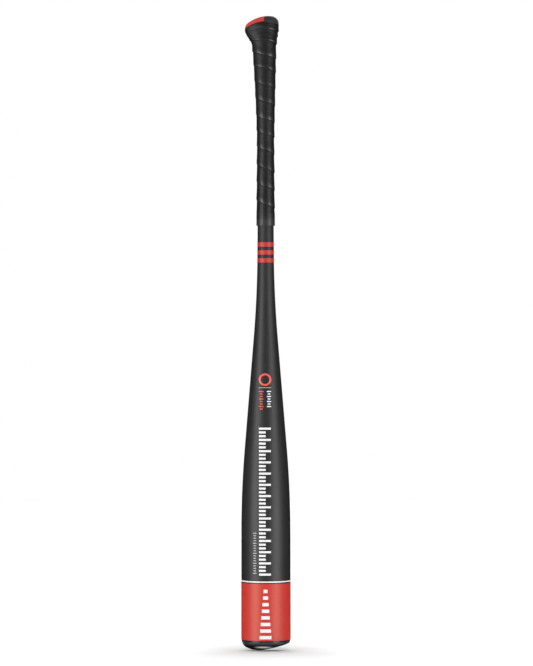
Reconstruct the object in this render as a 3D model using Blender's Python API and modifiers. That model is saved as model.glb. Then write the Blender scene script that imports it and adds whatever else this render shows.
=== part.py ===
"""A weighted swing-speed training bat, 33 inches long, in the pieces it is assembled from.

The bat stands on its end cap with the knob up. +Z runs along its axis from the cap to the knob, and
the knob's heel points to -X. A drawn alloy shell carries everything: the end cap is bonded into its
mouth, the weight sits in its handle between two bungs, the knob is bonded over its other end, and a
taper sleeve turns the round handle oval under the grip. All lengths are in metres.
"""

import math

import bmesh
import bpy
from mathutils import Matrix, Vector

MM = 0.001

# How the model is cut up, and the fits between its pieces.
SEGMENTS = 40  # facets around each round piece
GAP = 0.3 * MM  # bond line or clearance between two pieces that meet
MERGE = 0.01 * MM
SMOOTH_ANGLE = math.radians(35)  # edges sharper than this stay sharp
CUTTER_MARGIN = 5 * MM  # how far a cutter stands clear of what it cuts
CUTTER_SPAN = 4  # size of a cutter block, in radii of what it cuts

# Overall length, from the lowest point of the cap to the knob's end. Heights along the barrel are
# set from the cap, and heights along the handle from the knob's end.
LENGTH = 838.2 * MM

# Shell: barrel, cone and handle are straight-sided, and meet in two long bends.
MOUTH_Z = 12.4 * MM
MOUTH_RADIUS = 32.65 * MM
SHOULDER_Z = 210 * MM
SHOULDER_RADIUS = 32.5 * MM
SHOULDER_REACH = 56 * MM  # the bend's length to each side of the corner
THROAT_BELOW_END = 368.2 * MM
THROAT_Z = LENGTH - THROAT_BELOW_END
THROAT_RADIUS = 11.25 * MM
THROAT_REACH = 56 * MM
TUBE_BELOW_END = 20.2 * MM
TUBE_TOP_Z = LENGTH - TUBE_BELOW_END
TUBE_TOP_RADIUS = 9.15 * MM
BARREL_WALL = 3.4 * MM
HANDLE_WALL = 2.7 * MM
BEND_STEPS = 6

# Films that lie flush in shallow seats of the shell.
FILM = 0.4 * MM
WRAP_ABOVE_MOUTH = 0.7 * MM
WRAP_Z = MOUTH_Z + WRAP_ABOVE_MOUTH
WRAP_TOP_Z = 88.3 * MM
PINSTRIPE_Z = 89.9 * MM
PINSTRIPE_WIDTH = 1.7 * MM
STRIPES_BELOW_END = 326.2 * MM
STRIPES_Z = LENGTH - STRIPES_BELOW_END
STRIPE_WIDTH = 5.8 * MM
STRIPE_PITCH = 10.5 * MM
STRIPE_PLACES = ("lower", "middle", "upper")

# End cap: a straight rim, a drafted side, a round corner, a bevel and a flat bottom, cut on a
# slant towards +X.
CAP_INSET = 0.4 * MM  # its rim stands inside the barrel's outer side
CAP_RIM_HEIGHT = 0.9 * MM
CAP_CORNER_RADIUS = 30.4 * MM  # where side and bevel would meet
CAP_CORNER_REACH = 5 * MM  # of the rounding, along the side and along the bevel
CAP_CORNER_STEPS = 5
CAP_FLAT_RADIUS = 20.5 * MM
CAP_BEVEL = math.radians(24)
CAP_WALL = 3.0 * MM
CAP_SKIRT_LENGTH = 22 * MM
CAP_SLANT = math.radians(13.5)
CAP_SLANT_START_X = -4.2 * MM  # where the slanted face leaves the flat bottom
BOND_RING_Z = 20 * MM
BOND_RING_HEIGHT = 4 * MM
BOND_RING_THICKNESS = 1.1 * MM

# Weight, bungs and plug inside the handle.
WEIGHT_BELOW_END = 263.2 * MM
WEIGHT_Z = LENGTH - WEIGHT_BELOW_END
WEIGHT_LENGTH = 150 * MM
BUNG_LENGTH = 14 * MM
PLUG_LENGTH = 22 * MM

# Grip, as it lies around the handle.
TAPE = 1.0 * MM
TAPE_TAIL = 0.45 * MM  # the tape's cut end, pressed thin under the finishing tape
FINISH_BELOW_END = 277.2 * MM
FINISH_Z = LENGTH - FINISH_BELOW_END
FINISH_WIDTH = 17.5 * MM
FINISH_TAPE = 0.55 * MM
TAIL_LENGTH = 15 * MM

# Handle: round up to OVAL_Z, then oval, then flared out to the knob's rim.
OVAL_BELOW_END = 166.2 * MM
OVAL_Z = LENGTH - OVAL_BELOW_END
OVAL_STEPS = 5
FLARE_BELOW_END = 41.2 * MM
FLARE_Z = LENGTH - FLARE_BELOW_END
FLARE_STEPS = 7
FLARE_HEEL = 17.2 * MM
FLARE_TOE = 14.1 * MM
FLARE_SIDE = 13.4 * MM
HEEL_EASE = 1.5  # the heel side leaves the round handle later than the other sides
SLEEVE_BELOW_END = 122.2 * MM
SLEEVE_Z = LENGTH - SLEEVE_BELOW_END
SLEEVE_STEPS = 4
KNOB_DEPTH = 40.2 * MM
KNOB_Z = LENGTH - KNOB_DEPTH

# Knob: reach of its rim to each side of the bat's axis, and its end.
KNOB_HEEL = 27.6 * MM
KNOB_TOE = 17.8 * MM
KNOB_SIDE = 16.6 * MM
HEEL_EDGE_WIDTH = 4.5 * MM  # the rounded edge between the rim and the end
HEEL_EDGE_HEIGHT = 6.0 * MM
TOE_EDGE_WIDTH = 8.5 * MM
TOE_EDGE_HEIGHT = 10.5 * MM
END_BEND_X = 4.3 * MM  # from here to the heel the end bends down
END_BEND_RADIUS = 44 * MM
END_FLAT_LENGTH = 3 * MM  # of the true flat, from END_BEND_X towards the toe
END_FLAT_WIDTH = 12 * MM
EDGE_STEPS = 5
END_STEPS = 3
RIM_LIP = 1.35 * MM  # of the knob, below the heel cap
HEEL_CAP_X = -2 * MM  # where the heel cap ends


# Small helpers


def ease(share):
    """0 to 1 with a level start and a level end."""
    share = min(max(share, 0.0), 1.0)
    return share * share * (3 - 2 * share)


def eased_ramp(distance, reach):
    """0 before -reach, distance after +reach, and a parabola between the two."""
    if abs(distance) >= reach:
        return max(distance, 0.0)
    return (distance + reach) ** 2 / (4 * reach)


def spread(start, end, steps):
    """The steps + 1 evenly spaced values from start to end."""
    return [start + (end - start) * i / steps for i in range(steps + 1)]


def finish(name, color, roughness, metallic=0.0):
    """A material of one color."""
    material = bpy.data.materials.new(name)
    material.use_nodes = True
    shader = material.node_tree.nodes["Principled BSDF"]
    shader.inputs["Base Color"].default_value = (*color, 1)
    shader.inputs["Roughness"].default_value = roughness
    shader.inputs["Metallic"].default_value = metallic
    return material


def add_object(name, mesh, collection, material=None):
    """Link a mesh into a collection, shaded smooth but for its sharp edges."""
    mesh.shade_smooth()
    mesh.set_sharp_from_angle(angle=SMOOTH_ANGLE)
    obj = bpy.data.objects.new(name, mesh)
    collection.objects.link(obj)
    if material:
        mesh.materials.append(material)
    else:
        obj.hide_render = True
        obj.display_type = "WIRE"
    return obj


def turned(name, profile, closed, collection, material=None):
    """Turn a profile of (radius, z) points, run down its outer side, around the Z axis."""
    mesh = bpy.data.meshes.new(name)
    edges = [(i, i + 1) for i in range(len(profile) - 1)]
    if closed:
        edges.append((len(profile) - 1, 0))
    mesh.from_pydata([(radius, 0, z) for radius, z in profile], edges, [])
    obj = add_object(name, mesh, collection, material)
    screw = obj.modifiers.new("turn", "SCREW")
    screw.axis = "Z"
    screw.steps = SEGMENTS
    screw.render_steps = SEGMENTS
    screw.use_merge_vertices = True
    screw.merge_threshold = MERGE
    return obj


def lofted(name, rings, closed, collection, material=None):
    """Skin rings of SEGMENTS points, in a loop if closed, or with a fan over each end."""
    shape = bmesh.new()
    loops = [[shape.verts.new(point) for point in ring] for ring in rings]
    pairs = list(zip(loops, loops[1:]))
    if closed:
        pairs.append((loops[-1], loops[0]))
    for low, high in pairs:
        for i in range(SEGMENTS):
            j = (i + 1) % SEGMENTS
            shape.faces.new((low[i], low[j], high[j], high[i]))
    if not closed:
        for loop in (loops[0], loops[-1]):
            middle = shape.verts.new(sum((v.co for v in loop), Vector()) / SEGMENTS)
            for i in range(SEGMENTS):
                shape.faces.new((loop[i], loop[(i + 1) % SEGMENTS], middle))
    bmesh.ops.recalc_face_normals(shape, faces=shape.faces)
    mesh = bpy.data.meshes.new(name)
    shape.to_mesh(mesh)
    shape.free()
    return add_object(name, mesh, collection, material)


def rod(name, bottom, length, radius, collection, material=None):
    """A cylinder on the bat's axis."""
    shape = bmesh.new()
    place = Matrix.Translation((0, 0, bottom + length / 2))
    bmesh.ops.create_cone(
        shape, cap_ends=True, segments=SEGMENTS, radius1=radius, radius2=radius, depth=length, matrix=place
    )
    mesh = bpy.data.meshes.new(name)
    shape.to_mesh(mesh)
    shape.free()
    return add_object(name, mesh, collection, material)


def block(name, corner, size, collection):
    """A cutter box, from its lowest corner."""
    shape = bmesh.new()
    bmesh.ops.create_cube(shape, size=1)
    bmesh.ops.translate(shape, verts=shape.verts, vec=(0.5, 0.5, 0.5))
    bmesh.ops.scale(shape, verts=shape.verts, vec=size)
    bmesh.ops.translate(shape, verts=shape.verts, vec=corner)
    mesh = bpy.data.meshes.new(name)
    shape.to_mesh(mesh)
    shape.free()
    return add_object(name, mesh, collection)


def boolean(obj, operation, other):
    """Cut obj with another object, or keep what it shares with it."""
    modifier = obj.modifiers.new(other.name, "BOOLEAN")
    modifier.operation = operation
    modifier.object = other
    modifier.solver = "EXACT"


# Shell


def shell_radius(z):
    """Outer radius of the shell at height z, bends included."""
    barrel_slope = (SHOULDER_RADIUS - MOUTH_RADIUS) / (SHOULDER_Z - MOUTH_Z)
    cone_slope = (THROAT_RADIUS - SHOULDER_RADIUS) / (THROAT_Z - SHOULDER_Z)
    handle_slope = (TUBE_TOP_RADIUS - THROAT_RADIUS) / (TUBE_TOP_Z - THROAT_Z)
    radius = MOUTH_RADIUS + barrel_slope * (z - MOUTH_Z)
    radius += (cone_slope - barrel_slope) * eased_ramp(z - SHOULDER_Z, SHOULDER_REACH)
    return radius + (handle_slope - cone_slope) * eased_ramp(z - THROAT_Z, THROAT_REACH)


def bore_radius(z):
    """Inner radius of the shell, whose wall thins from the shoulder to the throat."""
    share = min(max((z - SHOULDER_Z) / (THROAT_Z - SHOULDER_Z), 0.0), 1.0)
    return shell_radius(z) - BARREL_WALL - (HANDLE_WALL - BARREL_WALL) * share


def bend_heights():
    """Heights at which the shell's profile has points, but for those of the film seats."""
    shoulder = spread(SHOULDER_Z - SHOULDER_REACH, SHOULDER_Z + SHOULDER_REACH, BEND_STEPS)
    throat = spread(THROAT_Z - THROAT_REACH, THROAT_Z + THROAT_REACH, BEND_STEPS)
    return shoulder + throat


def films():
    """Name, bottom and top of each film, from the barrel's mouth upwards."""
    rows = [
        ("barrel_wrap", WRAP_Z, WRAP_TOP_Z),
        ("barrel_pinstripe", PINSTRIPE_Z, PINSTRIPE_Z + PINSTRIPE_WIDTH),
    ]
    for i, place in enumerate(STRIPE_PLACES):
        bottom = STRIPES_Z + i * STRIPE_PITCH
        rows.append((f"handle_stripe_{place}", bottom, bottom + STRIPE_WIDTH))
    return rows


def seat_run(bottom, top):
    """The profile of a film's seat, downwards."""
    high, low = top + GAP, bottom - GAP
    depth = FILM + GAP
    run = [(shell_radius(high), high), (shell_radius(high) - depth, high)]
    return run + [(shell_radius(low) - depth, low), (shell_radius(low), low)]


def shell(collection, material):
    """The drawn tube, with a shallow seat for each film."""
    seats = [seat_run(bottom, top) for _, bottom, top in films()]
    free = [z for z in bend_heights() if not any(run[-1][1] <= z <= run[0][1] for run in seats)]
    runs = seats + [[(shell_radius(z), z)] for z in (MOUTH_Z, *free, TUBE_TOP_Z)]
    runs.sort(key=lambda run: run[0][1], reverse=True)
    outer = [point for run in runs for point in run]
    inner = [(bore_radius(z), z) for z in (MOUTH_Z, *bend_heights(), TUBE_TOP_Z)]
    return turned("bat_shell", outer + inner, True, collection, material)


def film(name, bottom, top, collection, material):
    """A ring of film, flush with the shell around it."""
    corners = ((top, 0), (bottom, 0), (bottom, FILM), (top, FILM))
    profile = [(shell_radius(z) - depth, z) for z, depth in corners]
    return turned(name, profile, True, collection, material)


# End cap


def cap_side():
    """The cap's side from its rim to its flat bottom, with the corner between them rounded."""
    rim = Vector((MOUTH_RADIUS - CAP_INSET, MOUTH_Z - GAP))
    under_rim = rim - Vector((0, CAP_RIM_HEIGHT))
    corner = Vector((CAP_CORNER_RADIUS, (CAP_CORNER_RADIUS - CAP_FLAT_RADIUS) * math.tan(CAP_BEVEL)))
    flat = Vector((CAP_FLAT_RADIUS, 0))
    start = corner + (under_rim - corner).normalized() * CAP_CORNER_REACH
    end = corner + (flat - corner).normalized() * CAP_CORNER_REACH
    rounding = []
    for share in spread(0, 1, CAP_CORNER_STEPS):
        rounding.append(start.lerp(corner, share).lerp(corner.lerp(end, share), share))
    return [tuple(point) for point in (rim, under_rim, *rounding, flat)]


def slant_block(name, lift, collection):
    """Everything on the outer side of the cap's slanted face, moved inwards by lift."""
    span = CUTTER_SPAN * MOUTH_RADIUS
    cutter = block(name, (-span / 2, -span / 2, lift - span), (span, span, span), collection)
    cutter.data.transform(Matrix.Rotation(-CAP_SLANT, 4, "Y"))
    cutter.data.transform(Matrix.Translation((CAP_SLANT_START_X, 0, 0)))
    return cutter


def end_cap(collection, cutters, material):
    """The cap turned solid with its skirt, then cut on a slant and hollowed to an even wall."""
    skirt = bore_radius(MOUTH_Z) - GAP
    top = MOUTH_Z + CAP_SKIRT_LENGTH
    groove = skirt - BOND_RING_THICKNESS - GAP
    groove_low = BOND_RING_Z - GAP
    groove_high = BOND_RING_Z + BOND_RING_HEIGHT + GAP
    profile = [(0, top), (skirt, top), (skirt, groove_high), (groove, groove_high), (groove, groove_low)]
    profile += [(skirt, groove_low), (skirt, MOUTH_Z - GAP), *cap_side(), (0, 0)]
    cap = turned("end_cap", profile, False, collection, material)

    hollow = skirt - CAP_WALL
    floor = CAP_WALL / math.cos(CAP_BEVEL)
    bevel_low = CAP_FLAT_RADIUS - (floor - CAP_WALL) / math.tan(CAP_BEVEL)
    bevel_high = (hollow - CAP_FLAT_RADIUS) * math.tan(CAP_BEVEL) + floor
    over = top + CUTTER_MARGIN
    pocket_profile = [(0, over), (hollow, over), (hollow, bevel_high), (bevel_low, CAP_WALL), (0, CAP_WALL)]
    pocket = turned("cap_pocket", pocket_profile, False, cutters)
    boolean(pocket, "DIFFERENCE", slant_block("cap_slant_inner", CAP_WALL, cutters))
    boolean(cap, "DIFFERENCE", slant_block("cap_slant_outer", 0, cutters))
    boolean(cap, "DIFFERENCE", pocket)
    return cap


def bond_ring(collection, material):
    """The bead in the skirt's groove."""
    outer = bore_radius(MOUTH_Z) - GAP
    inner = outer - BOND_RING_THICKNESS
    top = BOND_RING_Z + BOND_RING_HEIGHT
    profile = [(outer, top), (outer, BOND_RING_Z), (inner, BOND_RING_Z), (inner, top)]
    return turned("end_cap_bond_ring", profile, True, collection, material)


# Handle, grip and knob


def egg(angle, heel, toe, side):
    """A point of an egg-shaped outline around the bat's axis; 0 is the toe and pi the heel."""
    along = toe if math.cos(angle) > 0 else heel
    return along * math.cos(angle), side * math.sin(angle)


def angles():
    """The angles at which every section has its points."""
    return [2 * math.pi * i / SEGMENTS for i in range(SEGMENTS)]


def end_drop(x):
    """How far the knob's end has bent down at x."""
    return min(x - END_BEND_X, 0.0) ** 2 / (2 * END_BEND_RADIUS)


def edge_size(angle):
    """Width and height of the knob's rounded edge, which grows from the heel to the toe."""
    share = (1 + math.cos(angle)) / 2
    width = HEEL_EDGE_WIDTH + (TOE_EDGE_WIDTH - HEEL_EDGE_WIDTH) * share
    return width, HEEL_EDGE_HEIGHT + (TOE_EDGE_HEIGHT - HEEL_EDGE_HEIGHT) * share


def rim_z(angle):
    """Height of the knob's rim, its widest line, which bends down to the heel."""
    x, _ = egg(angle, KNOB_HEEL, KNOB_TOE, KNOB_SIDE)
    return LENGTH - end_drop(x) - edge_size(angle)[1]


def handle_reach(z):
    """Reach of the gripped handle to its heel, toe and side at the nominal height z."""
    round_start = shell_radius(OVAL_Z) + GAP + TAPE
    share = (z - OVAL_Z) / (FLARE_Z - OVAL_Z)
    if share <= 0:
        return (shell_radius(z) + GAP + TAPE,) * 3
    rim = rim_z(0)
    full = (rim - OVAL_Z) / (FLARE_Z - OVAL_Z)
    flare = ease((z - FLARE_Z) / (rim - FLARE_Z))
    reach = []
    sides = ((FLARE_HEEL, KNOB_HEEL, HEEL_EASE), (FLARE_TOE, KNOB_TOE, 1), (FLARE_SIDE, KNOB_SIDE, 1))
    for at_flare, at_rim, power in sides:
        oval = round_start + (at_flare - round_start) * share**power
        oval_at_rim = round_start + (at_flare - round_start) * full**power
        reach.append(oval + (at_rim - oval_at_rim) * flare)
    return tuple(reach)


def handle_ring(z, inset):
    """A section of the gripped handle, moved inwards by inset. It tips with the rim as it nears it."""
    rim = rim_z(0)
    tip = ease((z - FLARE_Z) / (rim - FLARE_Z))
    heel, toe, side = (reach - inset for reach in handle_reach(z))
    return [(*egg(a, heel, toe, side), z - tip * (rim - rim_z(a))) for a in angles()]


def tube_ring(z, clearance):
    """A round section that stands off the shell by clearance."""
    radius = shell_radius(z) + clearance
    return [(radius * math.cos(a), radius * math.sin(a), z) for a in angles()]


def edge_ring(turn):
    """A section of the knob's rounded edge: turn runs from 0 at the rim to pi/2 at the end."""
    ring = []
    for angle in angles():
        width, height = edge_size(angle)
        inset = width * (1 - math.cos(turn))
        x, y = egg(angle, KNOB_HEEL - inset, KNOB_TOE - inset, KNOB_SIDE - inset)
        ring.append((x, y, LENGTH - end_drop(x) - height * (1 - math.sin(turn))))
    return ring


def end_ring(share):
    """A section of the knob's end, from its edge (0) to its flat (1)."""
    ring = []
    for angle, (x, y, _) in zip(angles(), edge_ring(math.pi / 2)):
        flat_x = END_BEND_X + END_FLAT_LENGTH / 2 * (1 + math.cos(angle))
        flat_y = END_FLAT_WIDTH / 2 * math.sin(angle)
        x += (flat_x - x) * share
        y += (flat_y - y) * share
        ring.append((x, y, LENGTH - end_drop(x)))
    return ring


def knob_blank(name, collection, material=None):
    """The knob before it is cut: its core under the grip, the rim, the rounded edge and the end."""
    rings = [handle_ring(z, TAPE + GAP) for z in spread(KNOB_Z, rim_z(0), FLARE_STEPS)]
    rings += [edge_ring(turn) for turn in spread(0, math.pi / 2, EDGE_STEPS)]
    rings += [end_ring(share) for share in spread(0, 1, END_STEPS)[1:]]
    return lofted(name, rings, False, collection, material)


def heel_space(name, clearance, collection):
    """The room of the heel cap: above the knob's lip and on the heel's side of the cap's cut."""
    swell = CUTTER_MARGIN
    low, high = [], []
    for angle in angles():
        x, y = egg(angle, KNOB_HEEL + swell, KNOB_TOE + swell, KNOB_SIDE + swell)
        low.append((x, y, rim_z(angle) + RIM_LIP - clearance))
        high.append((x, y, LENGTH + swell))
    space = lofted(name, (low, high), False, collection)
    span = CUTTER_SPAN * KNOB_HEEL
    corner = (HEEL_CAP_X + clearance, -span / 2, LENGTH - span / 2)
    boolean(space, "DIFFERENCE", block(f"{name}_end", corner, (span, span, span), collection))
    return space


def knob(collection, cutters, material):
    """The knob, with a blind socket for the tube and room for the heel cap."""
    body = knob_blank("knob", collection, material)
    socket_rings = [tube_ring(z, GAP) for z in (KNOB_Z - CUTTER_MARGIN, TUBE_TOP_Z + GAP)]
    boolean(body, "DIFFERENCE", lofted("knob_socket", socket_rings, False, cutters))
    boolean(body, "DIFFERENCE", heel_space("heel_cap_seat", GAP, cutters))
    return body


def heel_cap(collection, cutters, material):
    """The red moulding that forms the heel half of the knob's end."""
    cap = knob_blank("knob_heel_cap", collection, material)
    boolean(cap, "INTERSECT", heel_space("heel_cap_room", 0, cutters))
    return cap


def taper_sleeve(collection, material):
    """The underlay that makes the handle oval, from a thin lower edge up to the knob."""
    heights = spread(SLEEVE_Z, KNOB_Z - GAP, SLEEVE_STEPS)
    rings = [handle_ring(z, TAPE + GAP) for z in heights]
    rings += [tube_ring(z, GAP) for z in reversed(heights)]
    return lofted("handle_taper_sleeve", rings, True, collection, material)


def grip_wrap(collection, material):
    """The wound tape as one sleeve, with its thin tail at the bottom and its top under the rim."""
    finish_top = FINISH_Z + FINISH_WIDTH
    tail_z = finish_top - TAIL_LENGTH
    rim = rim_z(0)
    outer = [tube_ring(z, GAP + TAPE_TAIL) for z in (tail_z, finish_top + GAP)]
    outer += [handle_ring(z, 0) for z in (finish_top + GAP, *spread(OVAL_Z, FLARE_Z, OVAL_STEPS))]
    outer += [handle_ring(z, 0) for z in spread(FLARE_Z, rim - GAP, FLARE_STEPS)[1:]]
    inner = [handle_ring(z, TAPE) for z in reversed(spread(FLARE_Z, rim - GAP, FLARE_STEPS))]
    inner += [handle_ring(SLEEVE_Z - GAP, TAPE), tube_ring(SLEEVE_Z - GAP, GAP), tube_ring(tail_z, GAP)]
    return lofted("grip_wrap", outer + inner, True, collection, material)


def finishing_tape(collection, material):
    """The smooth tape over the grip's tail."""
    top = FINISH_Z + FINISH_WIDTH
    inner = GAP + TAPE_TAIL + GAP
    outer = inner + FINISH_TAPE
    corners = ((top, outer), (FINISH_Z, outer), (FINISH_Z, inner), (top, inner))
    profile = [(shell_radius(z) + depth, z) for z, depth in corners]
    return turned("grip_finishing_tape", profile, True, collection, material)


# Inside the handle


def handle_fillings(collection, steel, rubber, nylon):
    """The weight between its two bungs, and the plug in the tube's end."""
    top = WEIGHT_Z + WEIGHT_LENGTH
    upper_end = top + GAP + BUNG_LENGTH
    weight_radius = bore_radius(top) - GAP
    rod("handle_weight", WEIGHT_Z, WEIGHT_LENGTH, weight_radius, collection, steel)
    lower_z = WEIGHT_Z - GAP - BUNG_LENGTH
    rod("weight_bung_lower", lower_z, BUNG_LENGTH, bore_radius(WEIGHT_Z) - GAP, collection, rubber)
    rod("weight_bung_upper", top + GAP, BUNG_LENGTH, bore_radius(upper_end) - GAP, collection, rubber)
    plug_radius = bore_radius(TUBE_TOP_Z) - GAP
    rod("handle_plug", TUBE_TOP_Z - PLUG_LENGTH, PLUG_LENGTH, plug_radius, collection, nylon)


def build():
    """Clear the scene and make every piece of the bat."""
    for obj in list(bpy.data.objects):
        bpy.data.objects.remove(obj, do_unlink=True)
    bat = bpy.data.collections.new("swing_training_bat")
    cutters = bpy.data.collections.new("cutters")
    for collection in (bat, cutters):
        bpy.context.scene.collection.children.link(collection)

    shell(bat, finish("charcoal_lacquer", (0.045, 0.045, 0.046), 0.45))
    colors = {"barrel_pinstripe": (0.9, 0.9, 0.9)}
    for name, bottom, top in films():
        film_finish = finish(f"{name}_film", colors.get(name, (0.62, 0.06, 0.05)), 0.35)
        film(name, bottom, top, bat, film_finish)

    end_cap(bat, cutters, finish("gloss_black_urethane", (0.012, 0.012, 0.013), 0.12))
    bond_ring(bat, finish("amber_bond", (0.35, 0.22, 0.08), 0.5))
    handle_fillings(
        bat,
        finish("bright_steel", (0.55, 0.55, 0.56), 0.3, 1.0),
        finish("bung_rubber", (0.03, 0.03, 0.03), 0.8),
        finish("natural_nylon", (0.75, 0.73, 0.66), 0.5),
    )
    taper_sleeve(bat, finish("sleeve_elastomer", (0.08, 0.08, 0.08), 0.7))
    knob(bat, cutters, finish("knob_black", (0.02, 0.02, 0.02), 0.5))
    heel_cap(bat, cutters, finish("heel_cap_red", (0.62, 0.05, 0.04), 0.4))
    grip_wrap(bat, finish("grip_black", (0.025, 0.025, 0.025), 0.6))
    finishing_tape(bat, finish("tape_black", (0.02, 0.02, 0.02), 0.5))


build()
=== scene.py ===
"""Fine surfaces, finishes and studio for the weighted training bat.

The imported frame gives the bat's ends, its mouth and its bands. Each sub-assembly of the bat is a
class that holds its sizes in metres, raises its meshes over the frame's solids and dresses them.
The pieces inside the bat keep their solids and only get a finish.
"""

from __future__ import annotations

import logging
import math
from collections.abc import Callable, Sequence
from dataclasses import dataclass
from enum import Enum

import bmesh
import bpy
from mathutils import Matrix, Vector, noise

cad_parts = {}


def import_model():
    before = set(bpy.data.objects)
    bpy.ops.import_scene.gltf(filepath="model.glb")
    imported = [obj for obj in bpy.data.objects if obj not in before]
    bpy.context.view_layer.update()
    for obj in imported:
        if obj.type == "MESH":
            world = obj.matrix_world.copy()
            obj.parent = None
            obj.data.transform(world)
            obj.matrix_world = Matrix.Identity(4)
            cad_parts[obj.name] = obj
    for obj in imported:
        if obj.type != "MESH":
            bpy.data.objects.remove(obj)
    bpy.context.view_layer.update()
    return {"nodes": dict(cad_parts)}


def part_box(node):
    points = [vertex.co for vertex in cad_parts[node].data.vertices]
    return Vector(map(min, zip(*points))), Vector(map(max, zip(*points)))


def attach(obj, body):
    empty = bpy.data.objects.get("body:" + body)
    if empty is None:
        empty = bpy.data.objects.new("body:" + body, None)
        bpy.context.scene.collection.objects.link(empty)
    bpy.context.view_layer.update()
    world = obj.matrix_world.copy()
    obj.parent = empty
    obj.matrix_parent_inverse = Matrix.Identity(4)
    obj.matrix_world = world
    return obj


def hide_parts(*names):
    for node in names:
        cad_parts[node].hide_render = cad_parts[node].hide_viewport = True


Color = tuple[float, float, float]
Span = tuple[float, float]
Run = list[tuple[float, float]]
Place = Callable[[int, int], Vector]

MM = 0.001
ROUND = 128  # points around a round piece
FRONT = 0.75  # the bat's front at -Y, in turns from +X
TOUCH = 0.000004  # points this close are one
CUT_TOUCH = 0.000001  # points this close to a cut lie on it
SAME_RADIUS = 1e-9
BLACK: Color = (0.0, 0.0, 0.0)
WHITE: Color = (1.0, 1.0, 1.0)
LOG = logging.getLogger("training_bat")


def grey(value: float) -> Color:
    """Return an even grey."""
    return (value, value, value)


def ease(share: float) -> float:
    """Return 0 to 1 with a level start and a level end."""
    share = min(max(share, 0.0), 1.0)
    return share * share * (3 - 2 * share)


def eased_ramp(distance: float, reach: float) -> float:
    """Return 0 before -reach, distance after +reach, and a parabola between the two.

    Args:
        distance: The distance past the middle of the bend.
        reach: How far the bend reaches to both sides.

    Returns:
        The eased distance.
    """
    if abs(distance) >= reach:
        return max(distance, 0.0)
    return (distance + reach) ** 2 / (4 * reach)


def spread(start: float, end: float, steps: int) -> list[float]:
    """Return the steps + 1 evenly spaced values from start to end."""
    return [start + (end - start) * i / steps for i in range(steps + 1)]


def ripple(x: float, y: float, z: float, seed: float) -> float:
    """Return smooth noise between about -1 and 1 at a place."""
    return noise.noise(Vector((x + seed, y - seed, z + 2 * seed)))


def polar(radius: float, angle: float, z: float) -> Vector:
    """Return a point around the bat's axis."""
    return Vector((radius * math.cos(angle), radius * math.sin(angle), z))


# Forms


@dataclass(frozen=True)
class TubeLine:
    """The outer line of the drawn tube: barrel, cone and handle, joined by two long bends."""

    mouth_z: float
    mouth_radius: float
    top_z: float
    top_radius: float = 9.15 * MM
    shoulder_z: float = 210 * MM
    shoulder_radius: float = 32.5 * MM
    throat_z: float = 470 * MM
    throat_radius: float = 11.25 * MM
    reach: float = 56 * MM
    barrel_wall: float = 3.4 * MM
    handle_wall: float = 2.7 * MM

    def radius(self, z: float) -> float:
        """Return the outer radius at a height.

        Args:
            z: The height.

        Returns:
            The radius.
        """
        barrel = (self.shoulder_radius - self.mouth_radius) / (self.shoulder_z - self.mouth_z)
        cone = (self.throat_radius - self.shoulder_radius) / (self.throat_z - self.shoulder_z)
        handle = (self.top_radius - self.throat_radius) / (self.top_z - self.throat_z)
        radius = self.mouth_radius + barrel * (z - self.mouth_z)
        radius += (cone - barrel) * eased_ramp(z - self.shoulder_z, self.reach)
        return radius + (handle - cone) * eased_ramp(z - self.throat_z, self.reach)

    def bore(self, z: float) -> float:
        """Return the inner radius at a height."""
        share = min(max((z - self.shoulder_z) / (self.throat_z - self.shoulder_z), 0.0), 1.0)
        return self.radius(z) - self.barrel_wall - (self.handle_wall - self.barrel_wall) * share


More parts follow.
